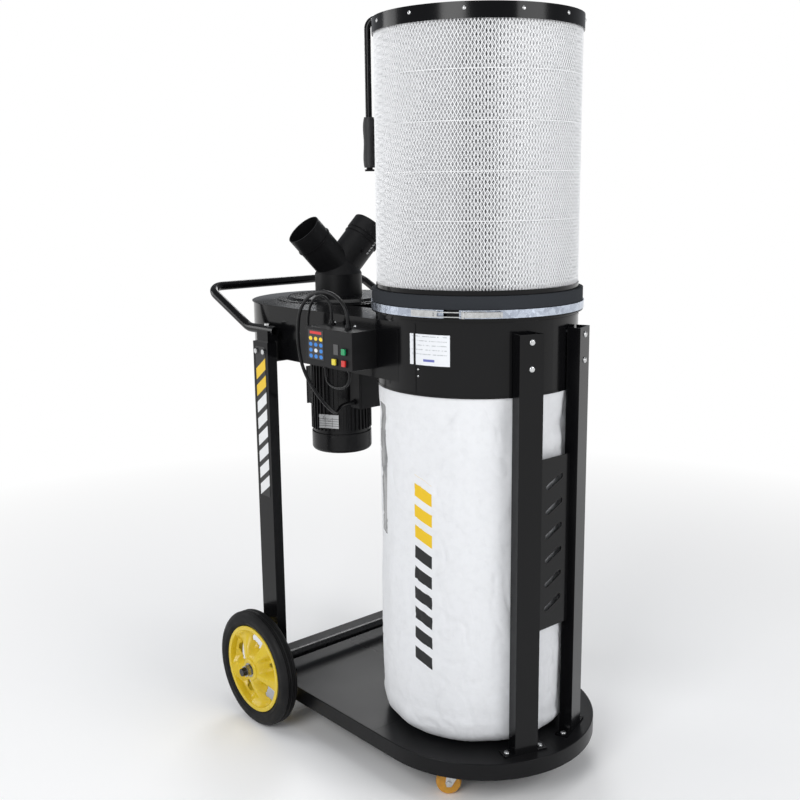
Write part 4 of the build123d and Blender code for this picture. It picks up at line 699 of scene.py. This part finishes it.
class DUST_OT_stage(bpy.types.Operator):
    """Add the camera, the floor, the background and the studio lights"""
    bl_idname = "dust.stage"
    bl_label = "Stage"

    def execute(self, context):
        stage = context.scene.dust_stage
        data = bpy.data.cameras.new("camera")
        data.lens = stage.lens
        data.sensor_width = 36.0
        camera = bpy.data.objects.new("camera", data)
        heading = Euler((math.pi / 2 - stage.camera_tilt, 0, stage.camera_turn)).to_matrix()
        turn = heading @ Matrix.Rotation(stage.camera_roll, 3, "Z")
        camera.location = stage.camera_place
        camera.rotation_euler = turn.to_euler()
        context.scene.collection.objects.link(camera)
        context.scene.camera = camera

        bpy.ops.object.select_all(action="DESELECT")
        bpy.ops.mesh.primitive_circle_add(vertices=96, radius=FLOOR_RADIUS, fill_type="NGON")
        floor = context.active_object
        floor.name = "floor"
        backdrop = tuple(stage.backdrop)
        finish = Finish("floor_paint", backdrop, 0.5, specular_ior_level=0.2)
        finish.bump(finish.noise(30, 4), 0.02, MM)
        glow = finish.nodes.new("ShaderNodeEmission")
        glow.inputs[0].default_value = (*backdrop, 1)
        distance = finish.nodes.new("ShaderNodeVectorMath")
        distance.operation = "LENGTH"
        finish.links.new(finish.place.outputs["Object"], distance.inputs[0])
        far = finish.remap(distance.outputs["Value"], 0, 1, *FLOOR_FADE)
        mix = finish.nodes.new("ShaderNodeMixShader")
        finish.links.new(far, mix.inputs[0])
        finish.links.new(finish.shader.outputs[0], mix.inputs[1])
        finish.links.new(glow.outputs[0], mix.inputs[2])
        finish.links.new(mix.outputs[0], finish.nodes["Material Output"].inputs[0])
        floor.data.materials.append(finish.material)

        world = bpy.data.worlds.new("studio")
        world.use_nodes = True
        nodes, links = world.node_tree.nodes, world.node_tree.links
        seen = nodes["Background"]
        seen.inputs[0].default_value = (*backdrop, 1)
        seen.inputs[1].default_value = 1.0
        fill = nodes.new("ShaderNodeBackground")
        fill.inputs[0].default_value = (*FILL_COLOUR, 1)
        fill.inputs[1].default_value = FILL_STRENGTH
        path = nodes.new("ShaderNodeLightPath")
        mix = nodes.new("ShaderNodeMixShader")
        links.new(path.outputs["Is Camera Ray"], mix.inputs[0])
        links.new(fill.outputs[0], mix.inputs[1])
        links.new(seen.outputs[0], mix.inputs[2])
        links.new(mix.outputs[0], nodes["World Output"].inputs[0])
        context.scene.world = world

        for name, (place_at, size, share) in LIGHTS.items():
            soft_box(name, place_at, size, stage.key_power * share)
        context.scene.view_settings.view_transform = "Standard"
        return {"FINISHED"}


# ---- leads --------------------------------------------------------------------------
LEADS = {
    "motor_lead": (0.0090, 0.7478, [
        (-142, -300, 1180), (-142, -300, 1210), (-176, -301, 1244), (-232, -302, 1256),
        (-292, -302, 1242), (-338, -301, 1202), (-352, -299, 1152), (-356, -296, 1096),
        (-350, -286, 1036), (-340, -256, 976), (-350, -208, 926), (-384, -158, 898),
        (-426, -118, 892), (-444, -88, 905), (-444, -56, 905),
    ]),
    "inner_lead": (0.0070, 0.2535, [
        (-238, -275, 1180), (-238, -275, 1208), (-252, -276, 1232), (-284, -277, 1240),
        (-314, -278, 1224), (-331, -279, 1192), (-335, -279, 1160), (-330, -279, 1135),
        (-314, -278, 1120), (-293, -278, 1120),
    ]),
    "link_lead": (0.0070, 0.1561, [
        (-250, -290, 1057.5), (-250, -290, 1034), (-233, -292, 1017), (-201, -293, 1012),
        (-169, -292, 1017), (-152, -290, 1034), (-152, -290, 1057.5),
    ]),
}


class DUST_OT_leads(bpy.types.Operator):
    """Add the three leads between the control box, its glands and the motor"""
    bl_idname = "dust.leads"
    bl_label = "Leads"

    def execute(self, context):
        for name, (diameter, length, route) in LEADS.items():
            points = [(DRUM.x + x * MM, y * MM, z * MM) for x, y, z in route]
            data = bpy.data.curves.new(name + "_sheath", "CURVE")
            data.dimensions = "3D"
            spline = data.splines.new("NURBS")
            spline.points.add(len(points) - 1)
            for point, place_at in zip(spline.points, points):
                point.co = (*place_at, 1)
            spline.order_u = 3
            spline.use_endpoint_u = True
            data.resolution_u = 10
            data.bevel_depth = diameter / 2
            data.bevel_resolution = 4
            data.use_fill_caps = True
            lead = bpy.data.objects.new(name + "_sheath", data)
            context.scene.collection.objects.link(lead)
            data.materials.append(FINISHES["lead_rubber"].material)
            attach(lead, "root")
            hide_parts(name)
        return {"FINISHED"}


# ---- filter -------------------------------------------------------------------------
BEAD_DEPTH = 0.004
BEAD_HALF = 0.0008        # half the height of a glue bead
FOLD_DEPTH = 0.026
RIM_SCREWS = 12
RIM_SCREW_START = 8.0     # degrees


class DUST_OT_filter(bpy.types.Operator):
    """Add the pleated paper, its glue beads, the expanded metal sleeve and the rim's screws"""
    bl_idname = "dust.filter"
    bl_label = "Filter"

    def execute(self, context):
        sizes = context.scene.dust_sizes
        self.add_pleats(sizes.pleats)
        self.add_sleeve(sizes)
        self.add_screws()
        return {"FINISHED"}

    def add_pleats(self, count):
        low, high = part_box("filter_pleats")
        outer = half_width("filter_pleats")
        inner = outer - FOLD_DEPTH
        bpy.ops.object.select_all(action="DESELECT")
        bpy.ops.mesh.primitive_circle_add(vertices=2 * count, radius=outer)
        piece = bpy.context.active_object
        for vertex in piece.data.vertices:
            if vertex.index % 2:
                vertex.co *= inner / outer
        edit(piece)
        bpy.ops.mesh.extrude_region_move(TRANSFORM_OT_translate={"value": (0, 0, high.z - low.z)})
        close_edit()
        place(piece, (DRUM.x, 0, low.z))
        edit(piece)
        bpy.ops.mesh.normals_make_consistent(inside=False)
        close_edit()
        beads = []
        for step in range(1, 5):
            height = low.z + (high.z - low.z) * (0.16 + 0.165 * step)
            bead_outer = outer - 0.0004
            ring = turned([
                (outer - BEAD_DEPTH, -BEAD_HALF), (bead_outer, -BEAD_HALF), (bead_outer, BEAD_HALF),
                (outer - BEAD_DEPTH, BEAD_HALF), (outer - BEAD_DEPTH, -BEAD_HALF),
            ], 160)
            place(ring, (DRUM.x, 0, height))
            beads.append(ring)
        settle(piece, "pleated_paper", "root", FINISHES["filter_paper"],
               replaced=("filter_pleats",), smooth=20)
        settle(join(beads), "glue_beads", "root", FINISHES["filter_paper"])

    def add_sleeve(self, sizes):
        low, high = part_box("filter_mesh")
        radius = half_width("filter_mesh") - 0.0005
        rows = round((high.z - low.z) / (sizes.diamond_height / 2))
        row_height = (high.z - low.z) / rows
        count = sizes.diamonds
        corners = []
        for row in range(rows + 1):
            for column in range(count):
                angle = FULL_TURN * (column + 0.5 * (row % 2)) / count
                across = Vector((math.cos(angle), math.sin(angle))) * radius
                corners.append((DRUM.x + across.x, across.y, low.z + row * row_height))
        faces = []
        for row in range(rows - 1):
            shift = row % 2
            for column in range(count):
                right = (row + 1) * count + (column + shift) % count
                left = (row + 1) * count + (column + shift - 1) % count
                faces.append((
                    row * count + column, right, (row + 2) * count + column, left,
                ))
        mesh = bpy.data.meshes.new("sleeve")
        mesh.from_pydata(corners, [], faces)
        piece = bpy.data.objects.new("sleeve", mesh)
        bpy.context.scene.collection.objects.link(piece)
        edit(piece)
        bpy.ops.mesh.select_mode(type="FACE")
        bpy.ops.mesh.inset(thickness=sizes.strand, depth=-0.0005, use_individual=True)
        bpy.ops.mesh.delete(type="FACE")
        bpy.ops.mesh.select_all(action="SELECT")
        bpy.ops.mesh.select_mode(type="VERT")
        close_edit()
        settle(piece, "expanded_sleeve", "root", FINISHES["sleeve_metal"],
               replaced=("filter_mesh",), smooth=20)

    def add_screws(self):
        low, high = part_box("filter_rim_top")
        radius = half_width("filter_rim_top")
        heads = []
        for index in range(RIM_SCREWS):
            angle = math.radians(360 / RIM_SCREWS * index + RIM_SCREW_START)
            head = dome(0.0045, 0.0022)
            out = Vector((math.cos(angle), math.sin(angle), 0))
            place(head, (DRUM.x + radius * out.x, radius * out.y, high.z - 0.014), out)
            heads.append(head)
        settle(join(heads), "rim_screws", "root", FINISHES["zinc_plate"])


# ---- bag ----------------------------------------------------------------------------
def fold_depth(angle, height):
    """How far the bag's cloth lies inside its full round, as a share of the wrinkle depth."""
    x, y = math.cos(angle), math.sin(angle)
    broad = noise.noise(Vector((2.1 * x, 2.1 * y, 2.6 * height + 3.0)))
    middle_size = noise.noise(Vector((5.5 * x, 5.5 * y, 8.0 * height + 11.0)))
    crease = noise.noise(Vector((4.2 * x + height * 3, 4.2 * y - height * 3, 13.0 * height)))
    second = noise.noise(Vector((7.0 * x - height * 5, 7.0 * y, 9.0 * height + 40.0)))
    line = max(0.0, 1 - abs(crease) / 0.07) * 0.30 + max(0.0, 1 - abs(second) / 0.05) * 0.22
    return 0.30 + 0.45 * broad + 0.30 * middle_size + line


class DUST_OT_bag(bpy.types.Operator):
    """Add the cloth bag with its hem, dents, creases and rounded bottom"""
    bl_idname = "dust.bag"
    bl_label = "Bag"

    def execute(self, context):
        wrinkle = context.scene.dust_sizes.wrinkle
        steps = 300
        corner = 0.055
        outline = [(0.0, 0.0), (BAG_R * 0.35, 0.0), (BAG_R * 0.6, 0.0)]
        outline += [
            (BAG_R - corner + corner * math.sin(a), corner - corner * math.cos(a))
            for a in (math.pi / 2 * i / 12 for i in range(13))
        ]
        rows = 112
        outline += [
            (BAG_R, corner + (BAG_HEIGHT - corner) * (i + 1) / rows) for i in range(rows)
        ]
        piece = turned(outline, steps)
        hem_line = 0.815
        drum_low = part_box("drum")[0].z - BAG_LOW.z
        for vertex in piece.data.vertices:
            radius = math.hypot(vertex.co.x, vertex.co.y)
            if radius < 1e-6:
                continue
            angle = math.atan2(vertex.co.y, vertex.co.x)
            height = vertex.co.z
            side = min(1.0, radius / BAG_R) ** 3
            held = min(1.0, max(0.0, (drum_low - height) / 0.03))
            depth = wrinkle * fold_depth(angle, height)
            pucker = 0.5 + 0.5 * math.sin(angle * 34 + 3 * noise.noise(Vector((angle * 2, 0, 5))))
            near_hem = math.exp(-((height - hem_line) / 0.022) ** 2)
            depth += near_hem * (0.0022 + 0.0016 * pucker)
            low_end = math.exp(-((height - corner) / 0.05) ** 2)
            ripple = noise.noise(Vector((angle * 3.5, height * 38, 1.0)))
            depth += low_end * 0.004 * (0.5 + ripple)
            inset = max(0.0, depth) * side * held + 0.0002
            share = (radius - inset) / radius
            vertex.co.x *= share
            vertex.co.y *= share
        layer = piece.data.uv_layers.new(name="bag")
        for polygon in piece.data.polygons:
            mean = math.atan2(polygon.center.y, polygon.center.x)
            for loop in polygon.loop_indices:
                co = piece.data.vertices[piece.data.loops[loop].vertex_index].co
                angle = math.atan2(co.y, co.x)
                if math.hypot(co.x, co.y) < 1e-6:
                    angle = mean
                if angle - mean > math.pi:
                    angle -= FULL_TURN
                if mean - angle > math.pi:
                    angle += FULL_TURN
                layer.data[loop].uv = (angle / FULL_TURN % 1.0 if abs(angle) < math.pi else
                                       (angle / FULL_TURN + 1.0), co.z / BAG_HEIGHT)
        apply_modifier(piece, "SOLIDIFY", thickness=0.0012, offset=-1)
        place(piece, (DRUM.x, 0, BAG_LOW.z))
        settle(piece, "collection_bag", "root", FINISHES["bag_cloth"],
               replaced=("dust_bag",), smooth=60)
        return {"FINISHED"}


# ---- wheels -------------------------------------------------------------------------
def smooth_step(value, low, high):
    share = min(1.0, max(0.0, (value - low) / (high - low)))
    return share * share * (3 - 2 * share)


def rim_face_height(radius, angle, spokes=5):
    """Height of the rim's web above the wheel's middle plane, in metres."""
    swing = abs((angle * spokes / FULL_TURN) % 1.0 - 0.5) * 2
    spoke = 1 - smooth_step(swing, 0.22, 0.66)
    ridge = 0.026 - 0.020 * smooth_step(radius, 0.030, 0.104)
    pocket = -0.010 + 0.035 * (1 - smooth_step(radius, 0.032, 0.060))
    return pocket + (ridge - pocket) * spoke + 0.014 * smooth_step(radius, 0.098, 0.1125)


class DUST_OT_wheels(bpy.types.Operator):
    """Add the grooved tyres and the moulded five-spoke rims"""
    bl_idname = "dust.wheels"
    bl_label = "Wheels"

    def execute(self, context):
        for side, out in (("right", -1), ("left", 1)):
            self.add_tyre(side, out, context.scene.dust_sizes.groove)
            self.add_rim(side, out)
        return {"FINISHED"}

    def add_tyre(self, side, out, groove):
        centre = middle(f"tyre_{side}")
        low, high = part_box(f"tyre_{side}")
        radius = (high.z - low.z) / 2 - 0.0002
        wide = (high.y - low.y) / 2
        bead = 0.1246
        half = [
            (0.1174, 0.0), (0.1174, 0.0158), (bead, 0.0160), (bead + 0.003, 0.0205),
            (bead + 0.009, wide - 0.0022), (bead + 0.012, wide - 0.0012), (bead + 0.014, wide - 0.0020),
            (bead + 0.021, wide - 0.0004), (bead + 0.028, wide - 0.0016),
            (radius - 0.0065, wide - 0.0040),
            (radius - 0.0030, wide - 0.0075), (radius - 0.0008, wide - 0.0110),
        ]
        tread = [(radius, wide - 0.0135)]
        for start in (0.0095, 0.0045):
            tread += [(radius, start + 0.0012), (radius - groove, start + 0.0004),
                      (radius - groove, start - 0.0012), (radius, start - 0.0020)]
        tread.append((radius, 0.0))
        upper = half + tread
        lower = [(r, -z) for r, z in reversed(upper[1:-1])]
        piece = turned(upper + lower + [upper[0]], 128)
        place(piece, centre, (0, out, 0))
        settle(piece, f"grooved_tyre_{side}", f"wheel_{side}", FINISHES["tyre_rubber"],
               replaced=(f"tyre_{side}",), smooth=38)

    def add_rim(self, side, out):
        centre = middle(f"wheel_rim_{side}")
        rings = [0.030, 0.033, 0.037, 0.042, 0.048, 0.055, 0.062, 0.069, 0.076, 0.083, 0.090,
                 0.096, 0.101, 0.105, 0.109, 0.1125]
        slices = 120
        corners = []
        for radius in rings:
            for step in range(slices):
                angle = FULL_TURN * step / slices
                corners.append((radius * math.cos(angle), radius * math.sin(angle),
                                rim_face_height(radius, angle)))
        window_half = [0.0] * 5 + [0.10, 0.17, 0.21, 0.23, 0.235, 0.22, 0.18, 0.10] + [0.0] * 3
        faces = []
        for ring in range(len(rings) - 1):
            for step in range(slices):
                after = (step + 1) % slices
                share = ((step + 0.5) * 5 / slices) % 1.0
                in_window = abs(share - 0.5) > 0.5 - window_half[ring]
                if not in_window:
                    faces.append((ring * slices + step, (ring + 1) * slices + step,
                                  (ring + 1) * slices + after, ring * slices + after))
        mesh = bpy.data.meshes.new("web")
        mesh.from_pydata(corners, [], faces)
        web = bpy.data.objects.new("web", mesh)
        bpy.context.scene.collection.objects.link(web)
        apply_modifier(web, "SOLIDIFY", thickness=0.0045, offset=-1)
        apply_modifier(web, "SUBSURF", levels=1, render_levels=1)
        barrel = turned([
            (0.1172, 0.0158), (0.1172, -0.0158), (0.1238, -0.0168), (0.1240, -0.0202),
            (0.1225, -0.0209), (0.1130, -0.0209), (0.1112, -0.0195), (0.1108, 0.0),
            (0.1112, 0.0150), (0.1128, 0.0205), (0.1140, 0.0209), (0.1225, 0.0209), (0.1240, 0.0202),
            (0.1238, 0.0168), (0.1172, 0.0158),
        ], 120)
        hub = turned([
            (0.0203, 0.0310), (0.0290, 0.0310), (0.0312, 0.0290), (0.0320, 0.0240), (0.0330, -0.0240),
            (0.0312, -0.0290), (0.0290, -0.0310), (0.0203, -0.0310), (0.0203, -0.0180),
            (0.0140, -0.0180), (0.0140, 0.0180), (0.0203, 0.0180), (0.0203, 0.0310),
        ], 64)
        piece = join([web, barrel, hub])
        place(piece, centre, (0, out, 0), math.radians(20))
        settle(piece, f"moulded_rim_{side}", f"wheel_{side}", FINISHES["yellow_plastic"],
               replaced=(f"wheel_rim_{side}",), smooth=40)


DATA_LABEL_ANGLES = (-83.5, -59.4)        # degrees about the drum's axis
DATA_LABEL_HEIGHTS = (1.097, 1.170)
SEAM_ANGLES = (-81.0, -79.6)
RIVET_ANGLE = -78.2
RIVET_HEIGHTS = (1.070, 1.086)
STRIPES_HEIGHT = 0.875
STRIPES_SIZE = (0.044, 0.42)
PLATE_ANGLE = 28.0        # degrees, the rating plate's turn about the fan's axis
PLATE_HEIGHT = 0.842


# ---- small pieces -------------------------------------------------------------------
class DUST_OT_labels(bpy.types.Operator):
    """Add the blank data label, the control label, the display, the rating plate and the stripes"""
    bl_idname = "dust.labels"
    bl_label = "Labels"

    def execute(self, context):
        label = wrapped_label(DRUM_R + 0.0002, *DATA_LABEL_ANGLES, *DATA_LABEL_HEIGHTS)
        settle(label, "data_label", "root", FINISHES["data_label"])
        front = BOX[0].y - 0.0003
        signs = flat_label((BOX[0].x + 0.044, front, BOX[1].z - 0.043), (0, -1, 0), 0.062, 0.074)
        settle(signs, "control_label", "root", FINISHES["panel_label"])
        start = middle("start_button")
        screen = flat_label((start.x - 0.034, front, start.z + 0.002), (0, -1, 0), 0.018, 0.026)
        apply_modifier(screen, "BEVEL", width=0.0002, segments=1)
        settle(screen, "display_window", "root", FINISHES["smoked_display"])
        plate = flat_label((0, 0, 0), (0, 0, 1), 0.062, 0.040)
        cover = half_width("motor_body") - 0.003
        turn = math.radians(PLATE_ANGLE)
        out = Vector((math.sin(turn), -math.cos(turn), 0))
        side = Vector((0, 0, 1)).cross(out)
        plate.matrix_world = Matrix.Translation(
            Vector((FAN.x, 0, PLATE_HEIGHT)) + out * (cover - 0.006)
        ) @ Matrix((side, Vector((0, 0, 1)), out)).transposed().to_4x4()
        settle(plate, "rating_plate", "root", FINISHES["rating_plate"])
        stripes = flat_label(
            ((POST[0].x + POST[1].x) / 2, POST[0].y - 0.0003, STRIPES_HEIGHT), (0, -1, 0),
            *STRIPES_SIZE,
        )
        settle(stripes, "post_stripes", "root", FINISHES["stripe_decal"])
        return {"FINISHED"}


class DUST_OT_fixings(bpy.types.Operator):
    """Add the drum's seam and rivets, the duct's bolts and the button surrounds"""
    bl_idname = "dust.fixings"
    bl_label = "Seams and Fixings"

    def execute(self, context):
        low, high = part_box("drum")
        seam = wrapped_label(
            DRUM_R + 0.0002, *SEAM_ANGLES, low.z + 0.006, high.z - 0.016, thickness=0.0009, columns=3
        )
        settle(seam, "drum_seam", "root", FINISHES["gloss_enamel"], smooth=30)
        heads = []
        for height in RIVET_HEIGHTS:
            angle = math.radians(RIVET_ANGLE)
            out = Vector((math.cos(angle), math.sin(angle), 0))
            head = dome(0.0026, 0.0015)
            place(head, (DRUM.x + DRUM_R * out.x, DRUM_R * out.y, height), out)
            heads.append(head)
        duct_low, duct_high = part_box("outlet_duct")
        for x_share, height in ((0.35, 1.168), (0.62, 1.166)):
            head = dome(0.005, 0.003)
            x = duct_low.x + (DRUM.x - 0.06 - duct_low.x) * x_share
            place(head, (x, duct_low.y, height), (0, -1, 0))
            heads.append(head)
        settle(join(heads), "rivets", "root", FINISHES["zinc_plate"])

        frames = []
        for node in BUTTON_COLOURS:
            low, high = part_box(node)
            half = 0.0082
            ring = turned([
                (half * 1.30, 0.0), (half * 1.55, 0.0), (half * 1.55, 0.0016),
                (half * 1.45, 0.0022), (half * 1.30, 0.0022), (half * 1.30, 0.0),
            ], 4)
            centre = (low + high) / 2
            place(ring, (centre.x, BOX[0].y, centre.z), (0, -1, 0), math.radians(45))
            frames.append(ring)
        settle(join(frames), "button_surrounds", "root", FINISHES["matt_plastic"])
        return {"FINISHED"}


# ---- finishes of the CAD nodes ------------------------------------------------------
NODE_FINISH = {
    "tray_coat": ("tray_front", "tray_rear", "caster_channel"),
    "gloss_enamel": (
        "rear_post_right", "rear_post_left", "fan_cradle", "push_handle", "handle_saddles",
        "fan_housing", "housing_lid", "inlet_ring", "outlet_duct", "drum", "front_post_right",
        "front_post_left", "front_panel", "filter_rim_bottom", "filter_rim_top", "crank_arm",
    ),
    "zinc_plate": (
        "caster_plates", "hex_bolts", "dome_bolts", "band_catch", "latch_lever", "cap_chain",
        "caster_fork_right", "caster_fork_left",
    ),
    "galvanised_band": ("clamp_band",),
    "axle_finish": ("axle",),
    "machined_steel": ("ball_bearings", "bag_ring", "motor_shaft", "flapper"),
    "foam_seal": ("gasket",),
    "motor_paint": ("motor_body", "motor_fan_cover"),
    "matt_plastic": (
        "terminal_box", "capacitor_box", "inlet_y", "port_cap", "control_box", "cable_glands",
        "cooling_fan",
    ),
    "cast_alloy": ("impeller",),
    "grip_rubber": ("crank_grip",),
    "amber_tread": ("caster_wheel_right", "caster_wheel_left"),
    "start_button": ("start_button",),
    "stop_button": ("stop_button",),
    "mode_button": ("mode_button",),
}


class DUST_OT_finish_nodes(bpy.types.Operator):
    """Give every CAD node that stays in view its finish"""
    bl_idname = "dust.finish_nodes"
    bl_label = "Finish the CAD Parts"

    def execute(self, context):
        for finish, nodes in NODE_FINISH.items():
            for node in nodes:
                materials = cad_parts[node].data.materials
                materials.clear()
                materials.append(FINISHES[finish].material)
        return {"FINISHED"}


# ---- add-on -------------------------------------------------------------------------
class DUST_PT_panel(bpy.types.Panel):
    """Sidebar panel that lists the settings and the pieces"""
    bl_idname = "DUST_PT_panel"
    bl_label = "Dust Collector"
    bl_space_type = "VIEW_3D"
    bl_region_type = "UI"
    bl_category = "Dust Collector"

    def draw(self, context):
        scene = context.scene
        for group in (scene.dust_stage, scene.dust_colours, scene.dust_sizes):
            box = self.layout.box()
            for key in group.__annotations__:
                box.prop(group, key)
        for operator in OPERATORS:
            self.layout.operator(operator.bl_idname)


SETTINGS = {
    "dust_stage": StageSettings,
    "dust_colours": ColourSettings,
    "dust_sizes": SizeSettings,
}
OPERATORS = (
    DUST_OT_stage, DUST_OT_leads, DUST_OT_finish_nodes, DUST_OT_filter, DUST_OT_bag,
    DUST_OT_wheels, DUST_OT_labels, DUST_OT_fixings,
)


def register():
    for cls in (*SETTINGS.values(), *OPERATORS, DUST_PT_panel):
        bpy.utils.register_class(cls)
    for name, group in SETTINGS.items():
        setattr(bpy.types.Scene, name, PointerProperty(type=group))


def unregister():
    for name in SETTINGS:
        delattr(bpy.types.Scene, name)
    for cls in (DUST_PT_panel, *reversed(OPERATORS), *reversed(SETTINGS.values())):
        bpy.utils.unregister_class(cls)


def main():
    register()
    make_finishes(bpy.context.scene.dust_colours)
    for operator in OPERATORS:
        getattr(bpy.ops.dust, operator.bl_idname.split(".")[1])()


if __name__ == "__main__":
    main()
